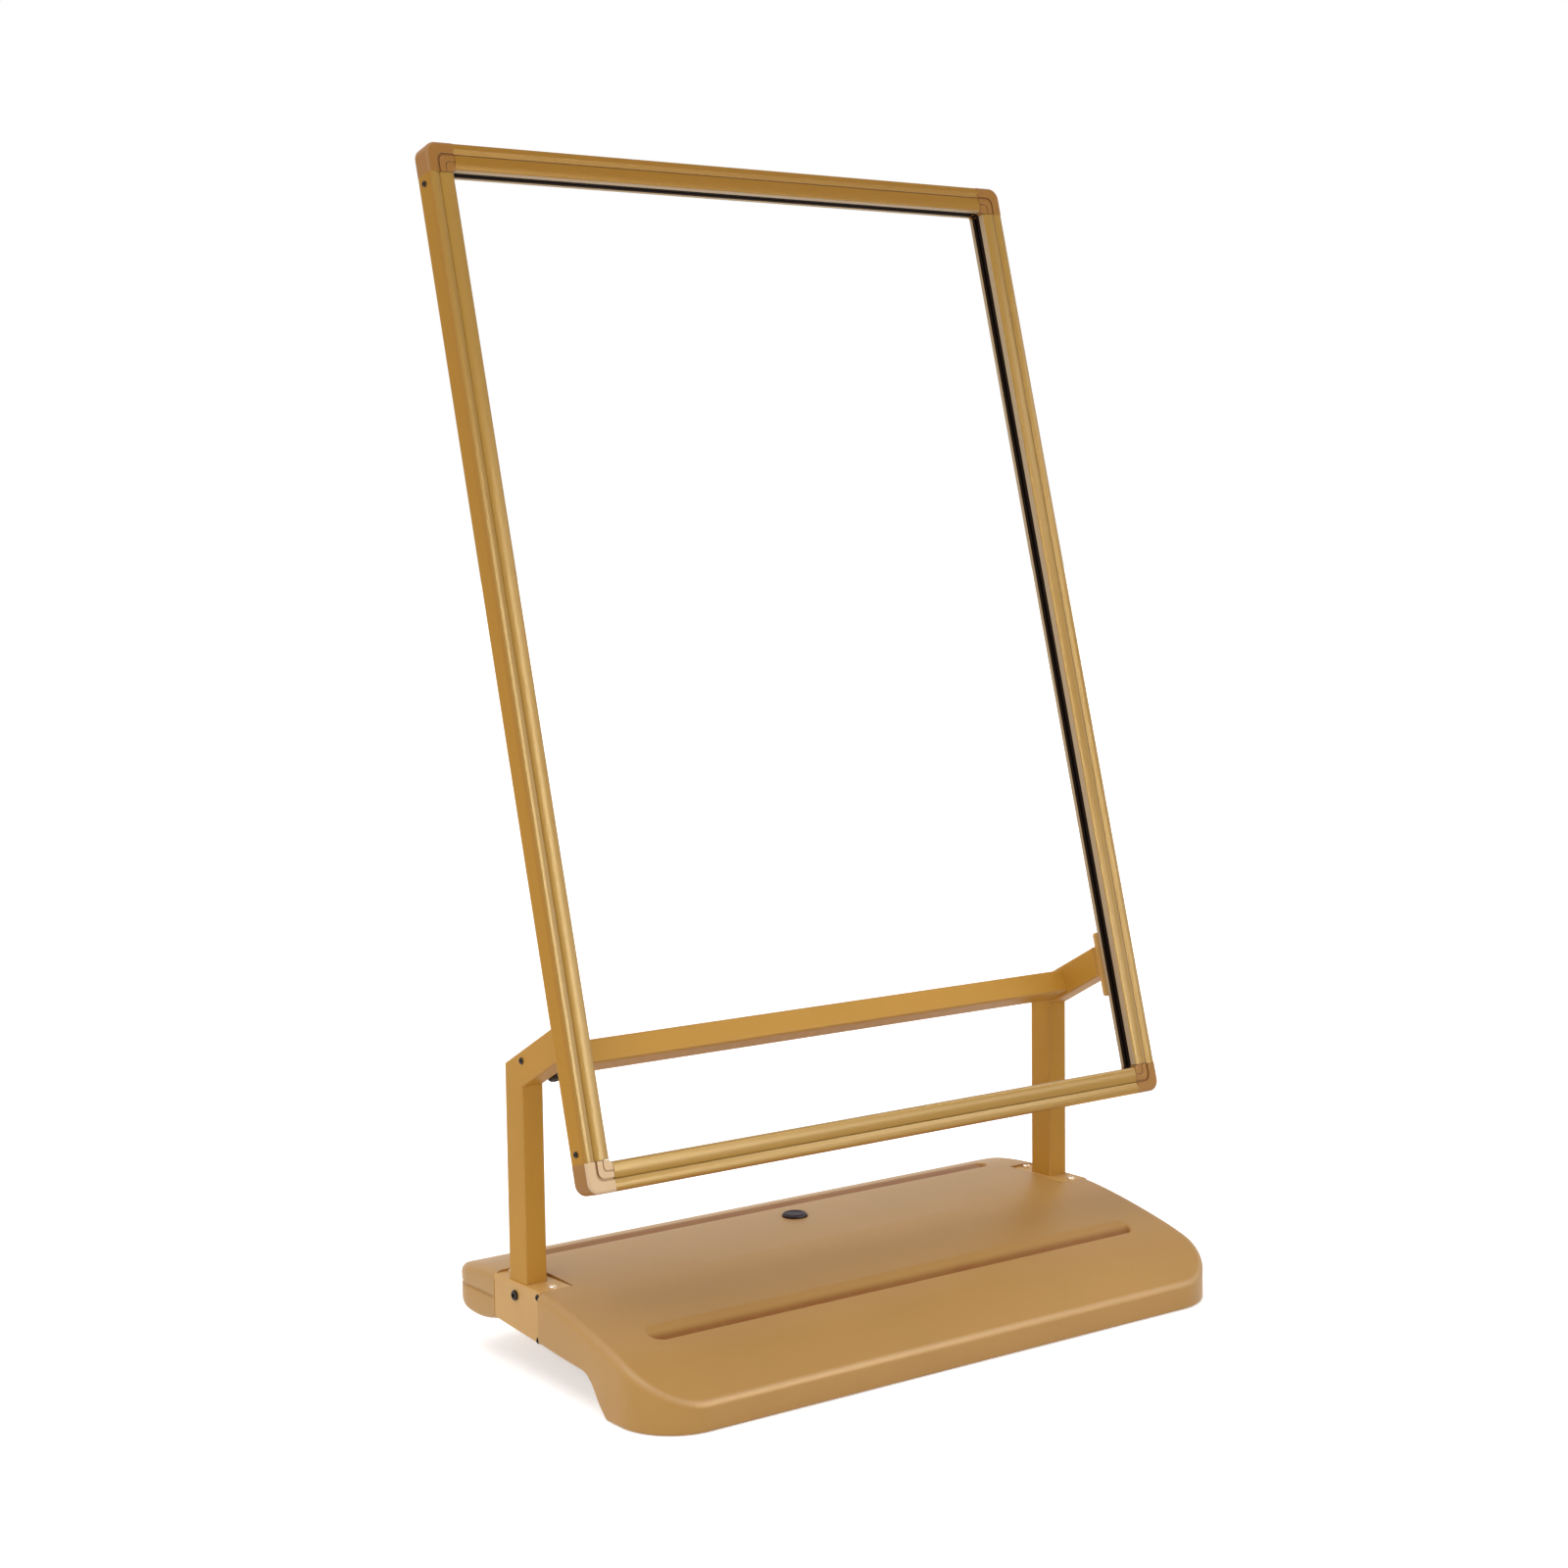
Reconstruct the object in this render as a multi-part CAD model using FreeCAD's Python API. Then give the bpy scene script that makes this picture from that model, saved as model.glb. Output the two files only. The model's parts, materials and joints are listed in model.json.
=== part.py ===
import FreeCAD, Part
import os
from math import cos, radians, sin, tan

os.makedirs("parts", exist_ok=True)
V = FreeCAD.Vector

# Poster frame, millimetres and degrees
frame_width = 628.0
frame_height = 877.0
frame_lean = 14.7
frame_foot_y = -80.0
frame_foot_z = 180.0

# Frame profile: a fixed outer band with a flap that turns in a cradle beside it
face_width = 24.0
profile_depth = 21.0
profile_wall = 1.6
band_width = 9.7
band_round = 3.5
band_bevel_width = 3.6
band_bevel_drop = 1.2
back_round = 2.5
lip_round = 1.0
slot_front = 8.0
slot_back = 17.0
bead_radius = 3.2
bead_clearance = 0.06
swing_gap = 0.3
cradle_reach = 7.5
cradle_lip_drop = 0.7
flap_plate = 1.8
flap_lip_depth = 7.0
flap_lip_wall = 1.6
flap_edge_round = 1.2
flap_end_gap = 0.5

# Black lining of the poster slot
gasket_setback = 0.3
panel_groove = 3.0
panel_groove_depth = 6.0

# Corner pieces
corner_size = 26.0
corner_round = 10.0
corner_face_round = 2.5
corner_groove_width = 2.0
corner_groove_depth = 1.8
corner_step_inset = 16.7
corner_step_width = 1.0
corner_step_depth = 0.8
tongue_length = 28.0
tongue_fit = 0.15

# Posts, arms and crossbar share one rectangular tube
tube_width = 21.0
tube_depth = 27.0
tube_wall = 1.5
tube_round = 2.0
post_setback = 10.0
post_rear_y = 64.5
elbow_z = 264.0
arm_rise = 28.0
crossbar_start = 19.3
crossbar_drop = 3.0
plug_length = 22.0
plug_fit = 0.1

# Plates between the arms and the frame
plate_thickness = 3.0
plate_width = 23.0
plate_height = 60.0
plate_inset = 4.0
plate_drop = 3.0
plate_round = 3.0

# Brackets on the ends of the base
bracket_thickness = 2.5
bracket_front_reach = 39.0
bracket_rear_reach = 34.5
bracket_flange = 31.0
bracket_top_z = 80.0
bracket_front_z = 36.0
bracket_rear_z = 43.0
bracket_fit = 0.2
flange_gap = 1.8
bracket_round = 1.8

# Base tank
base_front_overhang = 10.0
base_rear_overhang = 0.5
base_half_depth = 167.5
base_front_z = 24.0
base_crown_z = 82.0
base_rear_z = 68.5
base_rear_low_z = 52.0
base_toe_radius = 5.0
base_front_corner = 52.0
base_rear_corner = 34.0
base_edge_round = 8.0
tank_wall = 3.0
socket_z = 45.0
end_block = 36.0
rear_seam_z = 58.5
rear_seam_height = 1.5
rear_seam_depth = 1.0

# Rear foot, set in from the ends of the base
foot_setback = 64.5
foot_front_y = 100.0
foot_rear_y = 148.0
foot_draft = 4.0
foot_top_z = 46.0
foot_corner = 12.0

# Sunk channels on top of the base
channel_setback = 48.0
channel_half_width = 12.0
channel_depth = 6.0
front_channel_y = -86.5
front_channel_z = 60.5
front_channel_slope = 16.0
rear_channel_y = 114.5
rear_channel_z = 80.8
rear_channel_slope = -4.0

# Filler plug
plug_y = 70.0
plug_radius = 9.0
plug_clearance = 0.05
plug_head_radius = 11.5
plug_head_height = 3.5
plug_head_round = 2.6
plug_lead = 1.0
plug_reach = 13.0
plug_seat_z = 81.5
plug_seat_margin = 0.8

# Side outline of the base as (y, z) points: along the top from front to rear, and along the underside
# from rear to front and down the heel of the front foot
top_curve = [(-base_half_depth, base_front_z), (-131.5, 45.0), (front_channel_y, front_channel_z),
             (-29.5, 73.6), (10.5, 79.8), (plug_y, base_crown_z), (rear_channel_y, rear_channel_z),
             (144.5, 75.8), (base_half_depth, base_rear_z)]
under_curve = [(base_half_depth, base_rear_low_z), (150.0, 42.0), (122.0, 36.0), (98.0, 38.0), (80.0, 41.5),
               (47.5, 40.0), (9.0, 36.0), (-23.5, 33.2), (-52.0, 31.5), (-68.0, 27.0), (-76.0, 19.0),
               (-84.0, 9.0), (-94.0, 0.0)]

# Screws and bolts: head radius, head height, shank radius
small_head = (2.6, 1.2, 1.5)
side_head = (2.6, 1.4, 1.4)
bracket_head = (3.6, 2.0, 2.0)
bolt_head = (4.4, 2.2, 2.6)
black_head = (6.2, 4.6, 3.0)
cross_head = (2.9, 1.2, 2.0)
screw_fit = 0.05
head_bevel = 0.4
socket_flats = 0.9
small_socket = 0.8
side_socket = 0.9
bracket_socket = 1.2
bolt_socket = 1.4
black_socket = 2.4
cross_socket = 0.9
nut_flats = 10.0
nut_height = 5.0
corner_screw_offset = 8.0
corner_screw_length = 7.5
bracket_screw_length = 14.0
bracket_side_length = 12.0
bracket_screw_margin = 5.0
bracket_side_margin = 2.8
bracket_side_top_drop = 5.0
post_bolt_length = 12.0
post_bolt_z = 69.0
mount_screw_tip = 0.4
mount_screw_length = profile_depth - slot_back - mount_screw_tip
mount_screw_margin = 7.0
crossbar_screw_along = 27.4
crossbar_screw_down = 8.0
crossbar_screw_reach = 14.0
yoke_bolt_inset = 6.5
yoke_bolt_along = 7.0
yoke_bolt_length = 12.0

# Values that follow from the sizes above
pivot_s = band_width + swing_gap + bead_radius
pivot_d = bead_radius
stile_length = frame_height - 2 * corner_size
rail_length = frame_width - 2 * corner_size
half_width = frame_width / 2
post_outer_x = half_width - post_setback
lean = radians(frame_lean)
rise = radians(arm_rise)
post_centre_y = post_rear_y - tube_depth / 2
post_inner_x = post_outer_x - tube_width
web_outer_x = post_outer_x + bracket_thickness
base_front_half_length = post_outer_x + base_front_overhang
base_rear_half_length = post_outer_x + base_rear_overhang
foot_half_length = base_rear_half_length - foot_setback
channel_half_length = base_front_half_length - channel_setback
bracket_front_y = post_centre_y - bracket_front_reach
bracket_rear_y = post_centre_y + bracket_rear_reach


def export(shape, node):
    shape.exportStep("parts/" + node + ".step")


def box(x0, x1, y0, y1, z0, z1):
    return Part.makeBox(x1 - x0, y1 - y0, z1 - z0, V(x0, y0, z0))


def prism(points, x0, x1):
    """Solid between two planes of constant x, with its outline given as (y, z) points."""
    corners = [V(x0, y, z) for y, z in points]
    face = Part.Face(Part.makePolygon(corners + corners[:1]))
    return face.extrude(V(x1 - x0, 0, 0))


def mirrored(shape):
    return shape.mirror(V(0, 0, 0), V(1, 0, 0))


def placed(shape, position, direction):
    """Copy of a shape built along +Z, moved to a point and turned to a direction."""
    moved = shape.copy()
    moved.Placement = FreeCAD.Placement(position, FreeCAD.Rotation(V(0, 0, 1), direction))
    return moved


def rounded(shape, radius, wanted):
    edges = [edge for edge in shape.Edges if wanted(edge)]
    return shape.makeFillet(radius, edges)


def near(a, b):
    return abs(a - b) < 0.01


def edge_along_z_at(x, y):
    return lambda edge: near(edge.BoundBox.XMin, x) and near(edge.BoundBox.XMax, x) \
        and near(edge.BoundBox.YMin, y) and near(edge.BoundBox.YMax, y)


def runs_along(direction):
    """Test for straight edges that run along a direction."""
    return lambda edge: abs(edge.tangentAt(edge.FirstParameter).dot(direction)) > 0.999


# Screws, built head up with the underside of the head at the origin
def screw(head, length, socket):
    head_radius, head_height, shank_radius = head
    cap = Part.makeCylinder(head_radius, head_height)
    rim = [edge for edge in cap.Edges if near(edge.BoundBox.ZMin, head_height)]
    cap = cap.makeChamfer(head_bevel * head_height, rim)
    shank = Part.makeCylinder(shank_radius, length, V(0, 0, -length))
    recess = hexagon(socket_flats * head_radius, head_height)
    recess.translate(V(0, 0, head_height - socket))
    return cap.fuse(shank).cut(recess)


def hexagon(flats, height):
    radius = flats / 2 / cos(radians(30))
    corners = [V(radius * cos(radians(60 * i)), radius * sin(radians(60 * i)), 0) for i in range(7)]
    return Part.Face(Part.makePolygon(corners)).extrude(V(0, 0, height))


def bore(head, depth):
    """Clearance hole for the shank of a screw, from its head seat inwards."""
    return Part.makeCylinder(head[2] + screw_fit, depth + 1, V(0, 0, -depth - 0.5), V(0, 0, 1))


# Poster frame: sections lie in (s, d), s inwards from the outer edge and d back from the face
def slab(s0, s1, d0, d1, length):
    return box(s0, s1, d0, d1, 0, length)


def bead(radius, length):
    return Part.makeCylinder(radius, length, V(pivot_s, pivot_d, 0), V(0, 0, 1))


def fixed_profile(length):
    wall = profile_wall
    band = slab(0, band_width, 0, profile_depth, length)
    band = rounded(band, band_round, edge_along_z_at(0, 0))
    band = rounded(band, back_round, edge_along_z_at(0, profile_depth))
    bevel_start = V(band_width - band_bevel_width, 0, 0)
    bevel = Part.Face(Part.makePolygon([bevel_start, V(band_width, 0, 0), V(band_width, band_bevel_drop, 0),
                                        bevel_start]))
    band = band.cut([bevel.extrude(V(0, 0, length)),
                     slab(wall, band_width - wall, wall, profile_depth - wall, length)])
    lip = slab(band_width, face_width, slot_back, profile_depth, length)
    lip = rounded(lip, lip_round, edge_along_z_at(face_width, profile_depth))
    lip = lip.cut(slab(band_width, face_width - wall, slot_back + wall, profile_depth - wall, length))
    cradle_end = band_width + cradle_reach
    cradle = slab(band_width, cradle_end, pivot_d, slot_front, length)
    cradle = cradle.cut(slab(pivot_s, cradle_end, pivot_d, pivot_d + cradle_lip_drop, length))
    cradle = cradle.cut(bead(bead_radius + bead_clearance, length))
    return band.fuse([lip, cradle]).removeSplitter()


def flap_profile(length):
    plate = slab(pivot_s, face_width, 0, flap_plate, length)
    lip = slab(face_width - flap_lip_wall, face_width, 0, flap_lip_depth, length)
    hook = plate.fuse(lip).removeSplitter()
    hook = rounded(hook, flap_edge_round, edge_along_z_at(face_width, 0))
    return hook.fuse(bead(bead_radius, length)).removeSplitter()


def gasket_profile(length):
    inner = face_width - gasket_setback
    middle = (slot_front + slot_back) / 2
    strip = slab(band_width, inner, slot_front, slot_back, length)
    groove = slab(inner - panel_groove_depth, inner, middle - panel_groove / 2,
                  middle + panel_groove / 2, length)
    return strip.cut(groove)


def on_left(shape, start):
    moved = shape.copy()
    moved.translate(V(-half_width, 0, start))
    return moved


def on_bottom(shape, start):
    moved = shape.copy()
    moved.rotate(V(0, 0, 0), V(0, 1, 0), -90)
    moved.translate(V(half_width - start, 0, 0))
    return moved


def flipped_up(shape):
    return shape.mirror(V(0, 0, frame_height / 2), V(0, 0, 1))


def in_frame(shape):
    """Lean a shape built in upright frame coordinates and set it on the frame's foot."""
    leaned = shape.copy()
    leaned.rotate(V(0, 0, 0), V(1, 0, 0), -frame_lean)
    leaned.translate(V(0, frame_foot_y, frame_foot_z))
    return leaned


def frame_depth_at(y, z):
    return (y - frame_foot_y) * cos(lean) - (z - frame_foot_z) * sin(lean)


def frame_height_at(y, z):
    return (y - frame_foot_y) * sin(lean) + (z - frame_foot_z) * cos(lean)


def corner_piece():
    """Bottom left corner, in upright frame coordinates with its outer corner at the origin."""
    block = box(0, corner_size, 0, profile_depth, 0, corner_size)
    window = box(face_width, corner_size, 0, profile_depth, face_width, corner_size)
    block = block.cut(window)
    outer = lambda edge: near(edge.BoundBox.XMax, 0) and near(edge.BoundBox.ZMax, 0)
    block = rounded(block, corner_round, outer)
    front_outer = lambda edge: near(edge.BoundBox.YMax, 0) and not (
        near(edge.BoundBox.XMin, corner_size) or near(edge.BoundBox.ZMin, corner_size)
        or (edge.BoundBox.XMin > face_width - 1 or edge.BoundBox.ZMin > face_width - 1))
    block = rounded(block, corner_face_round, front_outer)
    block = block.cut(corner_groove(band_width, corner_groove_width, corner_groove_depth))
    block = block.cut(corner_groove(corner_step_inset, corner_step_width, corner_step_depth))
    play = profile_wall + tongue_fit
    side = band_width - play
    back = profile_depth - play
    reach = corner_size + tongue_length
    rail_tongue = box(corner_size - 1, reach, play, back, play, side)
    stile_tongue = box(play, side, play, back, corner_size - 1, reach)
    return block.fuse([rail_tongue, stile_tongue]).removeSplitter()


def corner_groove(inset, width, depth):
    """Bent groove in the face of a corner piece, at an inset from its outer sides."""
    return corner_field(inset, depth).cut(corner_field(inset + width, depth))


def corner_field(inset, depth):
    """Block over the face of a corner piece, from a given inset inwards, with a round outer corner."""
    far = 2 * corner_size
    field = box(inset, far, -1, depth, inset, far)
    bend = lambda edge: near(edge.BoundBox.XMax, inset) and near(edge.BoundBox.ZMax, inset)
    return rounded(field, corner_round * (1 - inset / corner_size), bend)


fixed_stile = on_left(fixed_profile(stile_length), corner_size)
fixed_rail = on_bottom(fixed_profile(rail_length), corner_size)
flap_stile = on_left(flap_profile(stile_length - 2 * flap_end_gap), corner_size + flap_end_gap)
flap_rail = on_bottom(flap_profile(rail_length - 2 * flap_end_gap), corner_size + flap_end_gap)
gasket_stile = on_left(gasket_profile(stile_length), corner_size)
gasket_rail = on_bottom(gasket_profile(rail_length), corner_size)

# Screws through the stile sides into the corner tongues
corner_screw = screw(small_head, corner_screw_length, small_socket)
corner_bore = bore(small_head, corner_screw_length)
corner_screw_z = corner_size + corner_screw_offset
lower_seat = V(-half_width, profile_depth / 2, corner_screw_z)
upper_seat = V(-half_width, profile_depth / 2, frame_height - corner_screw_z)
outward = V(-1, 0, 0)
left_corner_screws = [placed(corner_screw, seat, outward) for seat in (lower_seat, upper_seat)]
corner_holes = [placed(corner_bore, seat, outward) for seat in (lower_seat, upper_seat)]
fixed_stile = fixed_stile.cut(corner_holes)

bottom_left = corner_piece()
bottom_left.translate(V(-half_width, 0, 0))
bottom_left = bottom_left.cut(corner_holes[0])
top_left = flipped_up(bottom_left)

# Plates on the backs of the stiles, where the arms end
elbow_top = (post_rear_y, elbow_z)
mitre_drop = tube_depth * tan((radians(90) - rise) / 2)
elbow_low = (post_rear_y - tube_depth, elbow_z - mitre_drop)
arm_end_depth = profile_depth + plate_thickness
along = (-cos(rise), sin(rise))
across = (sin(rise), cos(rise))


def arm_end(start):
    """Point where a line along the arm from a start point meets the back of the mount plate."""
    travel = (frame_depth_at(*start) - arm_end_depth) / cos(rise - lean)
    return (start[0] + travel * along[0], start[1] + travel * along[1])


def between(a, b, share):
    return (a[0] + share * (b[0] - a[0]), a[1] + share * (b[1] - a[1]))


arm_middle = arm_end(between(elbow_top, elbow_low, 0.5))
plate_middle = frame_height_at(*arm_middle) - plate_drop
plate_low = plate_middle - plate_height / 2
plate_high = plate_middle + plate_height / 2
plate_outer_x = half_width - plate_inset
plate_inner_x = plate_outer_x - plate_width
left_plate = box(-plate_outer_x, -plate_inner_x, profile_depth, arm_end_depth, plate_low, plate_high)
plate_corner = lambda edge: near(edge.Length, plate_thickness)
left_plate = rounded(left_plate, plate_round, plate_corner)
mount_screw = screw(bracket_head, plate_thickness + mount_screw_length, bracket_socket)
mount_bore = bore(bracket_head, plate_thickness + mount_screw_length)
mount_x = -half_width + (band_width + face_width) / 2
mount_seats = [V(mount_x, arm_end_depth, plate_low + mount_screw_margin),
               V(mount_x, arm_end_depth, plate_high - mount_screw_margin)]
left_mount_screws = [placed(mount_screw, seat, V(0, 1, 0)) for seat in mount_seats]
mount_holes = [placed(mount_bore, seat, V(0, 1, 0)) for seat in mount_seats]
left_plate = left_plate.cut(mount_holes)
fixed_stile = fixed_stile.cut(mount_holes)

export(in_frame(fixed_stile), "left_stile")
export(in_frame(mirrored(fixed_stile)), "right_stile")
export(in_frame(fixed_rail), "bottom_rail")
export(in_frame(flipped_up(fixed_rail)), "top_rail")
export(in_frame(flap_stile), "left_flap")
export(in_frame(mirrored(flap_stile)), "right_flap")
export(in_frame(flap_rail), "bottom_flap")
export(in_frame(flipped_up(flap_rail)), "top_flap")
export(in_frame(gasket_stile), "left_gasket")
export(in_frame(mirrored(gasket_stile)), "right_gasket")
export(in_frame(gasket_rail), "bottom_gasket")
export(in_frame(flipped_up(gasket_rail)), "top_gasket")
export(in_frame(bottom_left), "corner_bottom_left")
export(in_frame(mirrored(bottom_left)), "corner_bottom_right")
export(in_frame(top_left), "corner_top_left")
export(in_frame(mirrored(top_left)), "corner_top_right")
corner_screws = left_corner_screws + [mirrored(item) for item in left_corner_screws]
export(in_frame(Part.makeCompound(corner_screws)), "corner_screws")
export(in_frame(left_plate), "left_mount_plate")
export(in_frame(mirrored(left_plate)), "right_mount_plate")
mount_screws = left_mount_screws + [mirrored(item) for item in left_mount_screws]
export(in_frame(Part.makeCompound(mount_screws)), "mount_screws")

# Posts and arms, mitred where they meet
wall_share = tube_wall / tube_depth
elbow_top_in = between(elbow_top, elbow_low, wall_share)
elbow_low_in = between(elbow_low, elbow_top, wall_share)
post_front_y = post_rear_y - tube_depth


def tube(outline, hollow, direction):
    outer = prism(outline, -post_outer_x, -post_inner_x)
    outer = rounded(outer, tube_round, runs_along(direction))
    return outer.cut(prism(hollow, -post_outer_x + tube_wall, -post_inner_x - tube_wall))


left_post = tube(
    [elbow_top, elbow_low, (post_front_y, socket_z), (post_rear_y, socket_z)],
    [elbow_top_in, elbow_low_in, (post_front_y + tube_wall, socket_z), (post_rear_y - tube_wall, socket_z)],
    V(0, 0, 1))
left_arm = tube(
    [elbow_top, elbow_low, arm_end(elbow_low), arm_end(elbow_top)],
    [elbow_top_in, elbow_low_in, arm_end(elbow_low_in), arm_end(elbow_top_in)],
    V(0, *along))


def on_arm(distance, down):
    """Point a distance along the top edge of the arm and a distance below it."""
    return (elbow_top[0] + distance * along[0] - down * across[0],
            elbow_top[1] + distance * along[1] - down * across[1])


def bar_section(margin):
    start = crossbar_start + margin
    end = crossbar_start + tube_depth - margin
    high = crossbar_drop + margin
    low = crossbar_drop + tube_width - margin
    return [on_arm(start, high), on_arm(end, high), on_arm(end, low), on_arm(start, low)]


crossbar = prism(bar_section(0), -post_inner_x, post_inner_x)
crossbar = rounded(crossbar, tube_round, runs_along(V(1, 0, 0)))
crossbar = crossbar.cut(prism(bar_section(tube_wall), -post_inner_x, post_inner_x))
left_plug = prism(bar_section(tube_wall + plug_fit), -post_inner_x, -post_inner_x + plug_length)
right_plug = mirrored(left_plug)

crossbar_screw_length = tube_width + crossbar_screw_reach
cross_screw = screw(cross_head, crossbar_screw_length, cross_socket)
cross_bore = bore(cross_head, crossbar_screw_length)
cross_y, cross_z = on_arm(crossbar_screw_along, crossbar_screw_down)
cross_seat = V(-post_outer_x, cross_y, cross_z)
left_cross_screw = placed(cross_screw, cross_seat, outward)
cross_hole = placed(cross_bore, cross_seat, outward)
left_arm = left_arm.cut(cross_hole)
left_plug = left_plug.cut(cross_hole)
right_plug = right_plug.cut(mirrored(cross_hole))

yoke_bolt = screw(black_head, yoke_bolt_length, black_socket)
yoke_bore = bore(black_head, yoke_bolt_length)
yoke_y, yoke_z = on_arm(crossbar_start + yoke_bolt_along, crossbar_drop + tube_width)
yoke_seat = V(-post_inner_x + yoke_bolt_inset, yoke_y, yoke_z)
downward = V(0, -across[0], -across[1])
yoke_hole = placed(yoke_bore, yoke_seat, downward)
crossbar = crossbar.cut(yoke_hole)
left_plug = left_plug.cut(yoke_hole)

# Bolts through the bracket sides into the posts, with nuts inside
post_bolt = screw(bolt_head, post_bolt_length, bolt_socket)
post_bore = bore(bolt_head, post_bolt_length)
bolt_seat = V(-web_outer_x, post_centre_y, post_bolt_z)
left_post_bolt = placed(post_bolt, bolt_seat, outward)
bolt_hole = placed(post_bore, bolt_seat, outward)
left_post = left_post.cut(bolt_hole)
nut = hexagon(nut_flats, nut_height).cut(Part.makeCylinder(bolt_head[2] + screw_fit, nut_height))
left_nut = placed(nut, V(-post_outer_x + tube_wall, post_centre_y, post_bolt_z), V(1, 0, 0))

export(left_post, "left_post")
export(mirrored(left_post), "right_post")
export(left_arm, "left_arm")
export(mirrored(left_arm), "right_arm")
export(crossbar, "crossbar")
export(Part.makeCompound([left_plug, right_plug]), "crossbar_plugs")
export(Part.makeCompound([left_cross_screw, mirrored(left_cross_screw)]), "crossbar_screws")
export(placed(yoke_bolt, yoke_seat, downward), "yoke_bolt")
export(Part.makeCompound([left_post_bolt, mirrored(left_post_bolt)]), "post_bolts")
export(Part.makeCompound([left_nut, mirrored(left_nut)]), "post_nuts")

# Brackets: a side plate with a sloping lower edge, folded over the top of the base
flange_inner_x = web_outer_x - bracket_flange
web = prism([(bracket_front_y, bracket_front_z), (bracket_rear_y, bracket_rear_z),
             (bracket_rear_y, bracket_top_z), (bracket_front_y, bracket_top_z)],
            -web_outer_x, -post_outer_x)
flange = box(-web_outer_x, -flange_inner_x, bracket_front_y, bracket_rear_y,
             bracket_top_z - bracket_thickness, bracket_top_z)
left_bracket = web.fuse(flange).removeSplitter()
fold = lambda edge: near(edge.BoundBox.XMax, -web_outer_x) and near(edge.BoundBox.ZMin, bracket_top_z)
left_bracket = rounded(left_bracket, bracket_round, fold)
post_hole = box(-post_outer_x, -post_inner_x + bracket_fit, post_front_y - bracket_fit,
                post_rear_y + bracket_fit, bracket_top_z - bracket_thickness, bracket_top_z)
left_bracket = left_bracket.cut(post_hole)

top_screw = screw(bracket_head, bracket_screw_length, bracket_socket)
top_bore = bore(bracket_head, bracket_screw_length)
top_screw_x = -(flange_inner_x + web_outer_x) / 2
top_seats = [V(top_screw_x, bracket_front_y + bracket_screw_margin, bracket_top_z),
             V(top_screw_x, bracket_rear_y - bracket_screw_margin, bracket_top_z)]
left_top_screws = [placed(top_screw, seat, V(0, 0, 1)) for seat in top_seats]
top_holes = [placed(top_bore, seat, V(0, 0, 1)) for seat in top_seats]

side_screw = screw(side_head, bracket_side_length, side_socket)
side_bore = bore(side_head, bracket_side_length)
side_y = bracket_front_y + bracket_side_margin
side_seats = [V(-web_outer_x, side_y, bracket_front_z + bracket_side_margin),
              V(-web_outer_x, side_y, bracket_top_z - bracket_side_top_drop)]
left_side_screws = [placed(side_screw, seat, outward) for seat in side_seats]
side_holes = [placed(side_bore, seat, outward) for seat in side_seats]
left_bracket = left_bracket.cut(top_holes + side_holes + [bolt_hole])

export(left_bracket, "left_end_bracket")
export(mirrored(left_bracket), "right_end_bracket")
export(Part.makeCompound(left_top_screws + [mirrored(item) for item in left_top_screws]), "bracket_screws")
export(Part.makeCompound(left_side_screws + [mirrored(item) for item in left_side_screws]),
       "bracket_side_screws")


# Base tank: the side outline carried along the base, cut to a plan with round corners
def spline(points, x):
    curve = Part.BSplineCurve()
    curve.interpolate([V(x, y, z) for y, z in points])
    return curve.toShape()


def shifted(points, distance):
    """Points of a curve moved to its right, each along the direction square to its neighbours."""
    moved = []
    for i in range(len(points)):
        back = points[max(i - 1, 0)]
        ahead = points[min(i + 1, len(points) - 1)]
        run = V(0, ahead[0] - back[0], ahead[1] - back[1]).normalize()
        moved.append((points[i][0] + distance * run.z, points[i][1] - distance * run.y))
    return moved


def side_outline(inset, x):
    """Closed outline of the base seen from its end, moved inwards by an inset."""
    top = shifted(top_curve, inset)
    under = shifted(under_curve, inset)
    top[0] = (inset - base_half_depth, top[0][1])
    top[-1] = (base_half_depth - inset, top[-1][1])
    under[0] = (base_half_depth - inset, under[0][1])
    under[-1] = (under[-1][0], inset)
    front_low = (top[0][0], inset)
    return Part.Wire([
        spline(top, x),
        Part.makeLine(V(x, *top[-1]), V(x, *under[0])),
        spline(under, x),
        Part.makeLine(V(x, *under[-1]), V(x, *front_low)),
        Part.makeLine(V(x, *front_low), V(x, *top[0]))])


def plan(inset):
    front_half = base_front_half_length - inset
    rear_half = base_rear_half_length - inset
    depth = base_half_depth - inset
    corners = [V(-front_half, -depth, inset), V(front_half, -depth, inset), V(rear_half, depth, inset),
               V(-rear_half, depth, inset), V(-front_half, -depth, inset)]
    block = Part.Face(Part.makePolygon(corners)).extrude(V(0, 0, 2 * base_crown_z))
    front = lambda edge: edge.BoundBox.ZLength > 1 and near(edge.BoundBox.YMax, -depth)
    rear = lambda edge: edge.BoundBox.ZLength > 1 and near(edge.BoundBox.YMin, depth)
    block = rounded(block, base_front_corner - inset, front)
    block = rounded(block, base_rear_corner - inset, rear)
    return rounded(block, base_toe_radius - inset / 2, lambda edge: near(edge.BoundBox.ZMax, inset))


def moulding(inset, edge_round):
    length = max(base_front_half_length, base_rear_half_length)
    carried = Part.Face(side_outline(inset, -length)).extrude(V(2 * length, 0, 0))
    body = carried.common(plan(inset))
    top = max(body.Faces, key=lambda face: face.Area * (face.CenterOfMass.z > base_crown_z / 2))
    return body.makeFillet(edge_round, top.Edges)


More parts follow.
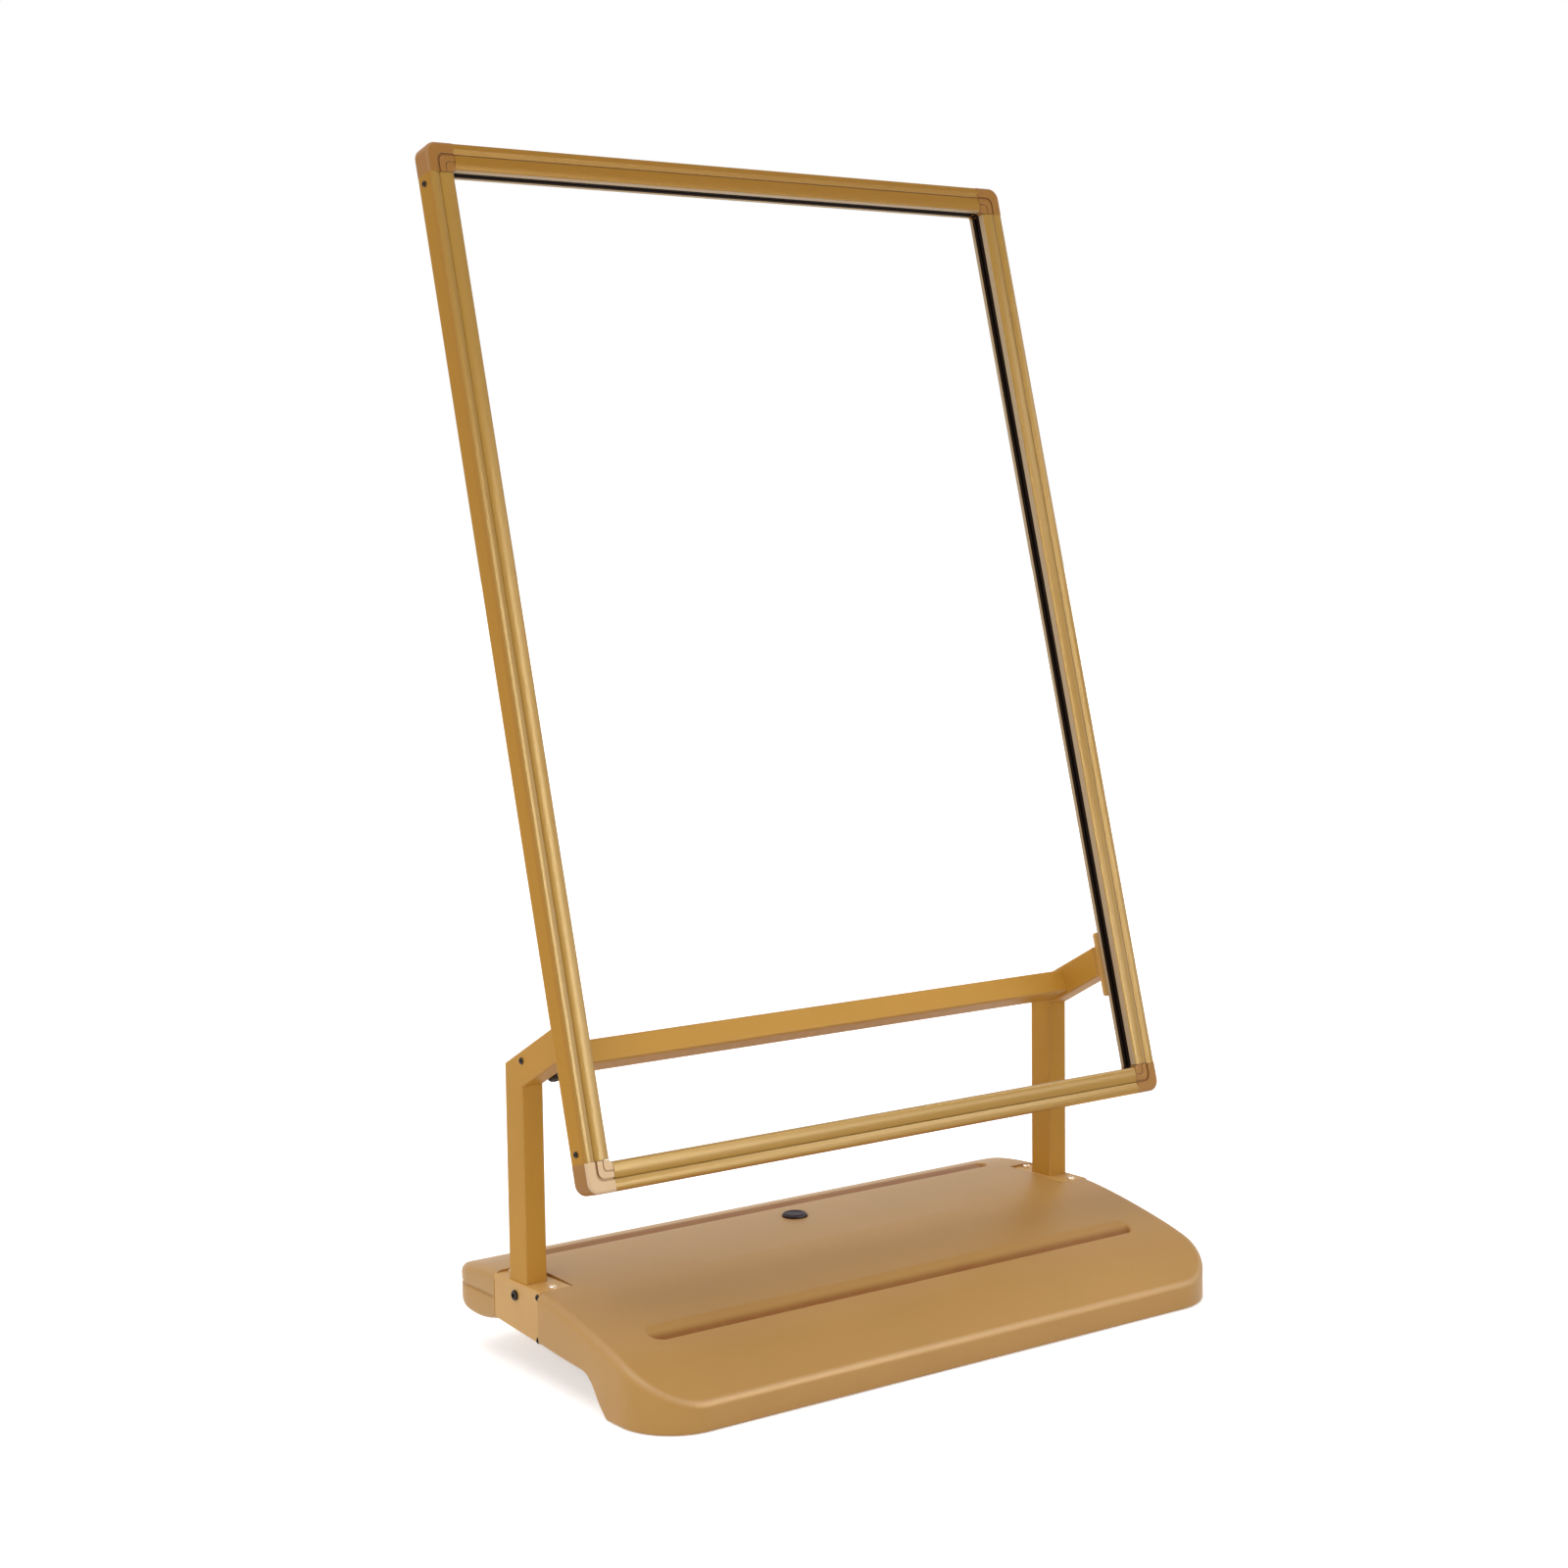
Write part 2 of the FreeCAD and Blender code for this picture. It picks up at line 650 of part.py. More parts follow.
def rear_foot(inset):
    def ring(z, spread):
        half = foot_half_length - inset + spread
        return Part.makePolygon([V(-half, foot_front_y + inset - spread, z),
                                 V(half, foot_front_y + inset - spread, z),
                                 V(half, foot_rear_y - inset + spread, z),
                                 V(-half, foot_rear_y - inset + spread, z),
                                 V(-half, foot_front_y + inset - spread, z)])
    body = Part.makeLoft([ring(inset, 0), ring(foot_top_z + inset, foot_draft)], True)
    return rounded(body, foot_corner - inset, lambda edge: edge.BoundBox.ZLength > 1)


def channel(centre_y, surface_z, slope, extra):
    """Slot with round ends, its floor falling from the rear edge to a wall at the front edge; extra
    widens and deepens it to leave a wall around it."""
    half = channel_half_width + extra
    end = channel_half_length - channel_half_width
    slot = box(-end, end, centre_y - half, centre_y + half, 0, 2 * base_crown_z)
    round_end = Part.makeCylinder(half, 2 * base_crown_z, V(end, centre_y, 0))
    slot = slot.fuse([round_end, mirrored(round_end)]).removeSplitter()
    fall = tan(slope) + channel_depth / (2 * channel_half_width)
    floor_z = surface_z - channel_depth / 2 - extra
    reach = 2 * channel_half_width
    floor = [(centre_y - reach, floor_z - reach * fall), (centre_y + reach, floor_z + reach * fall),
             (centre_y + reach, 2 * base_crown_z), (centre_y - reach, 2 * base_crown_z)]
    return slot.common(prism(floor, -channel_half_length - extra, channel_half_length + extra))


channels = [(front_channel_y, front_channel_z, radians(front_channel_slope)),
            (rear_channel_y, rear_channel_z, radians(rear_channel_slope))]
shelf = box(-post_outer_x, -flange_inner_x, bracket_front_y, bracket_rear_y, socket_z,
            bracket_top_z - bracket_thickness)
tank = moulding(0, base_edge_round).fuse([rear_foot(0), shelf, mirrored(shelf)])
cavity = moulding(tank_wall, base_edge_round - tank_wall).fuse(rear_foot(tank_wall))
end_zone = box(-base_front_half_length, end_block - post_outer_x, bracket_front_y - tank_wall,
               bracket_rear_y + tank_wall, 0, 2 * base_crown_z)
cavity = cavity.cut([end_zone, mirrored(end_zone)])
cavity = cavity.cut([channel(*item, tank_wall) for item in channels])
tank = tank.cut(cavity)
tank = tank.cut([channel(*item, 0) for item in channels])
rear_seam = box(-base_front_half_length, base_front_half_length, bracket_rear_y + tank_wall, base_half_depth,
                rear_seam_z, rear_seam_z + rear_seam_height)
tank = tank.cut(rear_seam.cut(plan(rear_seam_depth)))

play = bracket_fit
web_pocket = box(-base_front_half_length, -post_outer_x, bracket_front_y - play, bracket_rear_y + play,
                 0, 2 * base_crown_z)
flange_pocket = box(-post_outer_x, -flange_inner_x + flange_gap, bracket_front_y - play, bracket_rear_y + play,
                    bracket_top_z - bracket_thickness, 2 * base_crown_z)
post_pocket = box(-post_outer_x, -post_inner_x + play, post_front_y - play, post_rear_y + play,
                  socket_z, 2 * base_crown_z)
end_cuts = [web_pocket, flange_pocket, post_pocket] + top_holes + side_holes
tank = tank.cut(end_cuts + [mirrored(item) for item in end_cuts])

seat = Part.makeCylinder(plug_head_radius + plug_seat_margin, base_crown_z, V(0, plug_y, plug_seat_z))
filler = Part.makeCylinder(plug_radius + plug_clearance, plug_reach, V(0, plug_y, plug_seat_z - plug_reach))
tank = tank.cut([seat, filler])
export(tank, "base_tank")

# Filler plug: a low dome on a plain stem
stem = Part.makeCylinder(plug_radius, plug_reach, V(0, 0, -plug_reach))
stem = stem.makeChamfer(plug_lead, [edge for edge in stem.Edges if near(edge.BoundBox.ZMax, -plug_reach)])
head = Part.makeCylinder(plug_head_radius, plug_head_height)
head = rounded(head, plug_head_round, lambda edge: near(edge.BoundBox.ZMin, plug_head_height))
fill_plug = stem.fuse(head).removeSplitter()
fill_plug.translate(V(0, plug_y, plug_seat_z))
export(fill_plug, "fill_plug")
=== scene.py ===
import json
from math import cos, radians, sin, tan

import bmesh
import bpy
import numpy as np
from bpy.props import FloatProperty, FloatVectorProperty, PointerProperty
from bpy.types import Operator, Panel, PropertyGroup
from mathutils import Matrix, Vector


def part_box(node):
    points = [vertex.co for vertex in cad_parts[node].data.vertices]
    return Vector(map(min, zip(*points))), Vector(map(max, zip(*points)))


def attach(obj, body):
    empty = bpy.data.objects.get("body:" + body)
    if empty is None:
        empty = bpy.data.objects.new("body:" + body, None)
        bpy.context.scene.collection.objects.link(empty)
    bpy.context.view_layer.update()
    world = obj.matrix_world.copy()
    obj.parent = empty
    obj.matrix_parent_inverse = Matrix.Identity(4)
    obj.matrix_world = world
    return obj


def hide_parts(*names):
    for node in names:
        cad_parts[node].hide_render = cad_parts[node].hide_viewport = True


bl_info = {
    "name": "Pavement sign stand",
    "version": (1, 0, 0),
    "blender": (4, 5, 0),
    "location": "View3D > Sidebar > Sign stand",
    "description": "Dresses the packed frame of a leaning poster stand on a hollow base",
    "category": "Object",
}

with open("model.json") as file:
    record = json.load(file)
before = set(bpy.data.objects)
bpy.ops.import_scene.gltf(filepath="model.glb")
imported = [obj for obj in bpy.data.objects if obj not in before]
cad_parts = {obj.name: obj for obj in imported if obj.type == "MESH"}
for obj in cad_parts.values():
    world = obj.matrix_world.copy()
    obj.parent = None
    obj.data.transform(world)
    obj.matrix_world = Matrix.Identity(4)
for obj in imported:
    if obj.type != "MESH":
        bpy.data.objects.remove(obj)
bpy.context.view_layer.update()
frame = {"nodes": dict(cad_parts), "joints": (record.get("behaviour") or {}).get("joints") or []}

MM = 0.001
HANDS = (("left", -1.0), ("right", 1.0))

# Profile of the poster frame, millimetres: places across it from its outer edge, and behind its front
PIVOT_S, PIVOT_D = 13.2, 3.2
CORNER_SIZE, FACE_WIDTH, PROFILE_DEPTH, BAND_WIDTH = 26.0, 24.0, 21.0, 9.7
BAND_BROW, BAND_SLOPE_DEPTH = 0.4, 1.35
SLOT_FRONT, SLOT_BACK, LINING_SETBACK, SHEET_HALF, SHEET_REACH = 8.0, 17.0, 0.3, 1.5, 6.0
BEAD_RADIUS, CRADLE_RADIUS, CRADLE_END, CRADLE_LIP = 3.2, 3.26, 17.2, 3.9
FLAP_START, FLAP_CROWN, FLAP_END, FLAP_GAP = 11.3, 17.0, 22.6, 0.5
FLAP_EDGE, FLAP_LIP, FLAP_LIP_TOP, FLAP_LIP_END = 1.35, 1.6, 2.1, 7.0
GROOVE_END, GROOVE_FLOOR = 11.7, 1.8
LINE_START, LINE_END, LINE_FLOOR = 16.7, 17.7, 0.8
BAR_STATIONS, LINING_STATIONS = 9, 5

# Where painted shade darkens the grooves of a profile: first and last place across it, least and
# greatest depth
BAR_GROOVE = (9.6, 17.3, 2.5, 7.9)
CORNER_GROOVE = (9.0, 18.0, 0.3, 2.0)
# Strength of the painted shade in the grooves; weak on the bottom bar, whose bead catches the light
BAR_GROOVE_SHADE, BOTTOM_BAR_GROOVE_SHADE, CORNER_GROOVE_SHADE, FADED_CORNER_GROOVE_SHADE = 0.33, 0.099, 0.23, 0.46

# Directions and place of the leaning poster frame, read from its hinges
HINGES = {joint["name"]: joint for joint in frame["joints"]}
SIDE = np.array((1.0, 0.0, 0.0))
UP = np.array(HINGES["right_flap_turn"]["axis"], float)
UP = UP / np.linalg.norm(UP)
BACK = np.cross(UP, SIDE)
LOW_HINGE = np.array(HINGES["bottom_flap_turn"]["pos_m"], float)
HIGH_HINGE = np.array(HINGES["top_flap_turn"]["pos_m"], float)
FOOT = LOW_HINGE - PIVOT_S * MM * UP - PIVOT_D * MM * BACK
FRAME_HEIGHT = (HIGH_HINGE - LOW_HINGE) @ UP / MM + 2 * PIVOT_S
HALF_WIDTH = -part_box("left_stile")[0].x / MM

# Posts, arms and crossbar, millimetres
TUBE_WIDTH, TUBE_DEPTH = 21.0, 27.0
POST_OUTER = -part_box("left_post")[0].x / MM
POST_INNER = POST_OUTER - TUBE_WIDTH
POST_REAR, ELBOW_Z, POST_FOOT_Z = 64.5, 264.0, 45.0
ARM_RISE = radians(28.0)
PLATE_THICKNESS = 3.0
BAR_START, BAR_DROP = 19.3, 3.0

# Base: plan, side outline and sunk features, millimetres
BASE_DEPTH = 167.5
BASE_FRONT, BASE_REAR = POST_OUTER + 10.0, POST_OUTER + 0.5
FRONT_CORNER, REAR_CORNER = 52.0, 34.0
HEEL_Y = -94.0
CREST = ((-167.5, 24.0), (-131.5, 45.0), (-86.5, 60.5), (-29.5, 73.6), (10.5, 79.8),
         (70.0, 82.0), (114.5, 80.8), (144.5, 75.8), (167.5, 68.5))
ARCH = ((HEEL_Y, 0.0), (-84.0, 9.0), (-76.0, 19.0), (-68.0, 27.0), (-52.0, 31.5), (-23.5, 33.2),
        (9.0, 36.0), (47.5, 40.0), (80.0, 41.5), (98.0, 38.0), (122.0, 36.0), (150.0, 42.0),
        (167.5, 52.0))
RECESS_FRONT, RECESS_REAR = 11.8, 85.7
SHELF_X, SHELF_Z, FULL_REACH = 273.7, 77.5, 300.0
FILLER_Y, FILLER_SEAT_Z, FILLER_FLOOR_Z = 70.0, 81.5, 60.0
FILLER_SEAT, FILLER_RIM, FILLER_BORE, FILLER_BEVEL = 12.3, 12.8, 9.05, 0.6
FILLER_SQUARE, SQUARE_STEPS = 13.5, 6

# Sunk channels: middle, height of the top there, tilt of the floor, depth at which painted shade shows
FRONT_CHANNEL, REAR_CHANNEL = -86.5, 114.5
CHANNELS = ((FRONT_CHANNEL, 60.5, radians(16.0), 2.8), (REAR_CHANNEL, 80.8, radians(-4.0), 0.2))
CHANNEL_END, CHANNEL_HALF, CHANNEL_DEPTH, SHADE_FADE = 254.0, 12.0, 6.0, 2.0

# Parting line at the rear of the base: heights and shares of its depth
SEAM_Y, SEAM_LOW, SEAM_HIGH = 88.7, 57.6, 60.6
SEAM_STEPS = ((SEAM_HIGH + 0.8, 0.0), (SEAM_HIGH, 0.25), (SEAM_HIGH - 0.9, 1.0),
              (SEAM_LOW + 0.9, 1.0), (SEAM_LOW, 0.25), (SEAM_LOW - 0.8, 0.0))

# Rear foot: half length, front, rear and corner radius, then its heights and how far each stands out
FOOT_HALF, FOOT_FRONT, FOOT_REAR, FOOT_CORNER = 240.0, 100.0, 148.0, 12.0
FOOT_STEPS = ((0.0, -3.0), (0.4, -1.6), (1.2, -0.6), (3.0, 0.0), (46.0, 4.0))

# Filler stopper: radius and height of its outline below, round and above the crown of its head
STOPPER_STEM = ((0.0, -13.0), (8.0, -13.0), (9.0, -12.0), (9.0, 0.0), (11.2, 0.0), (11.5, 0.3))
STOPPER_CROWN, STOPPER_CROWN_RADIUS = (8.9, 0.9), 2.6
STOPPER_DISH = ((7.6, 3.5), (7.2, 3.3), (6.9, 3.1), (4.0, 3.0), (0.0, 3.0))

# Finishes: least likeness of a face's direction, tints of gloss, share of wear and painted highlight on
# edges, colour shares of painted shade
FACING = 0.6
GOLD_GLOSS, PALE_GLOSS = (1.0, 0.9, 0.5, 1.0), (1.0, 0.95, 0.66, 1.0)
BASE_GLOSS, CORNER_GLOSS = (1.0, 0.88, 0.62, 1.0), (1.0, 0.85, 0.5, 1.0)
WORN_AND_LIT_SHARE = 0.25
PAINTED_SHADE_TINT = (0.52, 0.29, 0.11)
WHITE = (1.0, 1.0, 1.0, 1.0)

# Stage: camera in metres, surroundings by the height of the view, lamp overhead and soft panels
CAMERA_PLACE = (-1.4207, -1.8380, 0.7060)
CAMERA_YAW, CAMERA_PITCH, CAMERA_ROLL = radians(36.56), radians(5.51), radians(-0.75)
CAMERA_LENS, CAMERA_SENSOR = 61.263, 36.0
FLOOR_REACH = 30.0
BRIGHT_BELOW, DARK_ABOVE = 0.45, 0.8
SUN_FROM, SUN_SPAN = (-0.25, 0.0, 1.1), radians(50.0)
MIDDLE = (0.0, 0.0, 0.35)

# Each panel: width and height, place, aim, span of its beam in degrees, and whether it lights
# matt surfaces; the others show only in glossy ones
PANELS = {
    "key": ((1.0, 0.8), (-1.9, -1.6, 0.8), MIDDLE, 180.0, True),
    "sheen": ((0.55, 1.4), (0.78, -2.0, 1.05), (0.0, 0.0, 0.3), 48.0, False),
    "streak": ((1.3, 0.35), (1.45, -2.0, 0.85), MIDDLE, 180.0, False),
    "ridge": ((1.2, 0.4), (1.2, -1.1, 1.4), (0.0, -0.08, 0.18), 50.0, False),
    "slope": ((0.4, 0.9), (1.55, -0.7, 0.65), (-0.42, -0.05, 0.35), 30.0, False),
}


def paint(red, green, blue):
    """Linear colour of a written one, each channel from 0 to 255."""
    written = np.array((red, green, blue)) / 255
    linear = np.where(written <= 0.04045, written / 12.92, ((written + 0.055) / 1.055) ** 2.4)
    return tuple(float(channel) for channel in linear)


def length(name, description, millimetres):
    return FloatProperty(name=name, description=description, default=millimetres * MM, min=0.0,
                         precision=5, unit="LENGTH")


def colour(name, description, red, green, blue):
    return FloatVectorProperty(name=name, description=description, default=paint(red, green, blue),
                               size=3, min=0.0, max=1.0, subtype="COLOR")


def amount(name, description, value, highest):
    return FloatProperty(name=name, description=description, default=value, min=0.0, max=highest)


def watts(name, description, value):
    return FloatProperty(name=name, description=description, default=value, min=0.0, max=500.0,
                         unit="POWER")


class SignStandSizes(PropertyGroup):
    """Roundings, bevels and depths of the pieces"""
    band_round: length("Band rounding", "Rounding of the outer front edge of the frame", 3.5)
    band_bevel: length("Band bevel", "Width of the slope beside the groove of the frame", 4.0)
    flap_crown: length("Flap crown", "Fall of the flap's face from its crown to the groove", 0.65)
    edge_round: length("Edge rounding", "Rounding of the small edges of the frame profile", 0.4)
    corner_round: length("Corner radius", "Radius of the outer corners of the frame", 10.0)
    tube_round: length("Tube rounding", "Rounding of the long edges of the tubes", 2.0)
    base_round: length("Base edge rounding", "Rounding round the top of the base", 8.0)
    base_toe: length("Base toe rounding", "Rounding round the underside of the base", 4.0)
    channel_lip: length("Channel lip", "Width of the wall of the sunk channels", 1.6)
    seam_depth: length("Seam depth", "Depth of the parting line at the rear of the base", 1.5)


class SignStandColours(PropertyGroup):
    """Colours of the finishes"""
    profile: colour("Frame", "Satin gold of the frame profile", 174, 131, 57)
    # The frame edge colour is painted shade: a darker gold for the frame's outer sides and top rail
    edge: colour("Frame edge", "Deeper gold of the frame's outer sides and top rail", 168, 119, 46)
    # The lip colour is painted light: a paler grey for the inward faces beside the poster slot
    lip: colour("Frame lip", "Worn grey of the lips beside the poster slot", 182, 156, 122)
    tube: colour("Tubes", "Gold paint of the posts, arms and crossbar", 190, 138, 55)
    sheet: colour("Sheet parts", "Gold paint of the brackets and plates", 204, 157, 88)
    corner: colour("Corner pieces", "Bronze-gold plastic of the corners", 160, 109, 50)
    faded_corner: colour("Faded corner", "Paler plastic on the face of the lower left corner",
                         214, 180, 142)
    base: colour("Base", "Gold-brown plastic of the base", 182, 137, 75)
    stopper: colour("Filler stopper", "Black plastic of the stopper", 36, 16, 24)
    lining: colour("Slot lining", "Black rubber of the poster slot", 24, 12, 5)
    steel: colour("Bright screws", "Bright steel of the bracket screws", 232, 214, 190)
    black_steel: colour("Black screws", "Blackened steel of the dark screws", 40, 28, 20)
    floor: colour("Floor", "Pale floor under the stand", 243, 243, 243)


class SignStandStage(PropertyGroup):
    """Strengths of the surroundings, the lamps and the floor"""
    horizon: amount("Horizon light", "Brightness of the surroundings near the floor", 1.0, 2.0)
    zenith: amount("Zenith light", "Brightness of the surroundings overhead", 0.5, 2.0)
    spill: amount("Spill light", "Share of the surroundings that lights matt surfaces", 0.63, 1.0)
    sun: amount("Overhead lamp", "Strength of the wide lamp overhead", 1.5, 10.0)
    floor_glow: amount("Floor white", "Brightness added to the floor as it is seen", 0.52, 1.0)
    key: watts("Key panel", "Power of the soft panel on the left", 8.0)
    sheen: watts("Sheen panel", "Power of the tall panel that only glossy surfaces show", 4.0)
    streak: watts("Streak panel", "Power of the long panel that only glossy surfaces show", 12.0)
    ridge: watts("Ridge panel", "Power of the narrow beam that only glossy surfaces show", 1.3)
    slope: watts("Slope panel", "Power of the right beam that only glossy surfaces show", 0.16)


class SignStandSettings(PropertyGroup):
    """Everything that can be set on the stand and its stage"""
    sizes: PointerProperty(type=SignStandSizes)
    colours: PointerProperty(type=SignStandColours)
    stage: PointerProperty(type=SignStandStage)


def settings():
    return bpy.context.scene.sign_stand


# Outlines and skins
def rounded_outline(corners, segments=6):
    """Closed outline through corners (s, d, r). A corner's rounding is the arc of radius r that
    touches both of its sides; point k of it is the arc's start turned by k/segments of the arc's
    angle about its centre. Returns the points and an edge mask, sin(pi*k/segments) on each arc."""
    corners = np.asarray(corners, float)
    point, radius = corners[:, :2], corners[:, 2]
    to_last = np.roll(point, 1, 0) - point
    to_next = np.roll(point, -1, 0) - point
    to_last = to_last / np.linalg.norm(to_last, axis=1, keepdims=True)
    to_next = to_next / np.linalg.norm(to_next, axis=1, keepdims=True)
    half = np.arccos(np.clip((to_last * to_next).sum(1), -1, 1)) / 2
    middle = to_last + to_next
    middle = middle / np.maximum(np.linalg.norm(middle, axis=1, keepdims=True), 1e-9)
    centre = point + middle * (radius / np.sin(half))[:, None]
    start = point + to_last * (radius / np.tan(half))[:, None] - centre
    turn = np.cross(to_last, to_next)
    step = np.linspace(0, 1, segments + 1)
    angle = -np.sign(turn)[:, None] * (np.pi - 2 * half)[:, None] * step
    x = start[:, :1] * np.cos(angle) - start[:, 1:] * np.sin(angle)
    y = start[:, :1] * np.sin(angle) + start[:, 1:] * np.cos(angle)
    arcs = np.stack((x, y), 2) + centre[:, None]
    mask = np.where(radius[:, None] > 0, np.sin(np.pi * step), 0)
    arcs, mask = arcs.reshape(-1, 2), mask.reshape(-1)
    kept = np.linalg.norm(arcs - np.roll(arcs, 1, 0), axis=1) > 1e-6
    return arcs[kept], mask[kept]


def circle_points(centre, radius, first, last, count):
    """Points (s, d, 0) on a circle at equal angles from first to last, in degrees."""
    angle = np.radians(np.linspace(first, last, count))
    return np.stack((centre[0] + radius * np.cos(angle), centre[1] + radius * np.sin(angle),
                     np.zeros(count)), 1)


def closed_rows(rows):
    """Rows of points with the first point of each repeated at its end."""
    return np.concatenate((rows, rows[:, :1]), 1)


def skin(rows, edge=0.0, capped=False, hollow=0.0, kept=None):
    """Patch over a grid of points, rows by columns. Its surface map holds the way along each row
    and the way from row to row, in metres. Caps close the first and the last row, and kept says
    which cells of the grid have a face. Returns points, quads, caps, surface map and masks."""
    count, width = rows.shape[:2]
    index = np.arange(count * width).reshape(count, width)
    quads = np.stack((index[:-1, :-1], index[:-1, 1:], index[1:, 1:], index[1:, :-1]), 2)
    quads = quads.reshape(-1, 4) if kept is None else quads[kept]
    caps = [index[0, :-1][::-1], index[-1, :-1]] if capped else []
    ways = np.zeros((count, width, 2))
    ways[:, 1:, 0] = np.linalg.norm(np.diff(rows, axis=1), axis=2).cumsum(1)
    ways[1:, :, 1] = np.linalg.norm(np.diff(rows, axis=0), axis=2).cumsum(0)
    masks = [np.broadcast_to(mask, (count, width)).reshape(-1) for mask in (edge, hollow)]
    return rows.reshape(-1, 3), quads, caps, ways.reshape(-1, 2), np.stack(masks, 1)


def closed_skin(rows, edge, hollow=0.0):
    """Patch round rows of a closed outline, with both of its ends capped."""
    hollow = np.broadcast_to(hollow, len(edge))
    return skin(closed_rows(rows), np.append(edge, edge[0]), True, np.append(hollow, hollow[0]))


def build_mesh(name, patches, sharp):
    """Mesh of several patches, joined where they meet, with its surface map and its masks of edges
    and hollows."""
    points, faces, start = [], [], 0
    for patch_points, quads, caps, _, _ in patches:
        points.append(patch_points)
        faces += (quads + start).tolist() + [(cap + start).tolist() for cap in caps]
        start += len(patch_points)
    surface = np.concatenate([patch[3] for patch in patches])
    masks = np.concatenate([patch[4] for patch in patches])
    mesh = bpy.data.meshes.new(name)
    mesh.from_pydata(np.concatenate(points).tolist(), [], faces)
    corners = np.empty(len(mesh.loops), np.int32)
    mesh.loops.foreach_get("vertex_index", corners)
    layer = mesh.uv_layers.new(name="surface")
    layer.data.foreach_set("uv", surface[corners].astype(np.float32).reshape(-1))
    for column, label in enumerate(("edge", "hollow")):
        layer = mesh.attributes.new(label, "FLOAT", "POINT")
        layer.data.foreach_set("value", masks[:, column].astype(np.float32))
    work = bmesh.new()
    work.from_mesh(mesh)
    bmesh.ops.remove_doubles(work, verts=work.verts, dist=2e-6)
    bmesh.ops.dissolve_degenerate(work, edges=work.edges, dist=1e-7)
    bmesh.ops.recalc_face_normals(work, faces=work.faces)
    work.to_mesh(mesh)
    work.free()
    mesh.shade_smooth()
    mesh.set_sharp_from_angle(angle=radians(sharp))
    return mesh


def add_piece(name, patches, material, body, node, sharp=32.0, even=True):
    """Finished piece that rides on a body and stands for the CAD node it replaces. An even piece
    is shaded so that its large faces look flat."""
    piece = bpy.data.objects.new(name, build_mesh(name, patches, sharp))
    bpy.context.scene.collection.objects.link(piece)
    piece.data.materials.append(material)
    if even:
        flats = piece.modifiers.new("flat_faces", "WEIGHTED_NORMAL")
        flats.keep_sharp = True
        flats.weight = 100
    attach(piece, body)
    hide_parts(node)
    return piece


def finish_face(piece, material, direction, depths=None):
    """Give the faces of a piece that look along a direction a finish of their own: all of them, or
    those with their middle between two depths behind the front of the frame."""
    faces = piece.data.polygons
    normals = np.empty(3 * len(faces), np.float32)
    faces.foreach_get("normal", normals)
    slots = np.empty(len(faces), np.int32)
    faces.foreach_get("material_index", slots)
    chosen = normals.reshape(-1, 3) @ direction > FACING
    if depths:
        middles = np.empty(3 * len(faces), np.float32)
        faces.foreach_get("center", middles)
        behind = (middles.reshape(-1, 3) - FOOT) @ BACK / MM
        chosen &= (behind > depths[0]) & (behind < depths[1])
    slots[chosen] = len(piece.data.materials)
    piece.data.materials.append(material)
    faces.foreach_set("material_index", slots)


def dress(nodes, material):
    """Give CAD nodes a finish and leave their shape alone."""
    for name in nodes:
        piece = frame["nodes"][name]
        if not piece.material_slots:
            piece.data.materials.append(material)
        for holder in piece.material_slots:
            holder.link = "OBJECT"
            holder.material = material


# Shader nodes
def add_node(tree, kind, inputs=(), **fields):
    """Node of a kind, with its fields set and its inputs linked or given values."""
    made = tree.nodes.new(kind)
    for key, value in fields.items():
        setattr(made, key, value)
    for key, value in dict(inputs).items():
        if isinstance(value, bpy.types.NodeSocket):
            tree.links.new(value, made.inputs[key])
        else:
            made.inputs[key].default_value = value
    return made


def maths(tree, operation, first, second=0.0, clamp=False):
    return add_node(tree, "ShaderNodeMath", {0: first, 1: second}, operation=operation,
                    use_clamp=clamp).outputs[0]


def spread(tree, value, low, high):
    """Value from 0 to 1 spread between two levels."""
    return add_node(tree, "ShaderNodeMapRange", {0: value, 3: low, 4: high}).outputs[0]


def blend_colours(tree, share, first, second):
    mixed = add_node(tree, "ShaderNodeMix", {0: share, 6: first, 7: second}, data_type="RGBA")
    return mixed.outputs[2]


def noise(tree, vector, scale, detail, roughness):
    return add_node(tree, "ShaderNodeTexNoise", {
        "Vector": vector, "Scale": scale, "Detail": detail, "Roughness": roughness}).outputs[0]


def seen_directly(tree):
    """1 for rays of the camera, of gloss and of glass, and 0 for light on matt surfaces."""
    rays = tree.nodes.new("ShaderNodeLightPath").outputs
    seen = maths(tree, "MAXIMUM", rays["Is Camera Ray"], rays["Is Glossy Ray"])
    return maths(tree, "MAXIMUM", seen, rays["Is Transmission Ray"])


def effect(name, values, outputs):
    """Empty node group with a vector, named values and named outputs, given with the sockets to
    build on, or the group already made under that name, given with none."""
    group = bpy.data.node_groups.get(name)
    if group:
        return group, None, None
    group = bpy.data.node_groups.new(name, "ShaderNodeTree")
    group.interface.new_socket("Vector", in_out="INPUT", socket_type="NodeSocketVector")
    for label, value in values.items():
        socket = group.interface.new_socket(label, in_out="INPUT", socket_type="NodeSocketFloat")
        socket.default_value = value
    for label in outputs:
        group.interface.new_socket(label, in_out="OUTPUT", socket_type="NodeSocketFloat")
    return group, group.nodes.new("NodeGroupInput").outputs, group.nodes.new("NodeGroupOutput").inputs


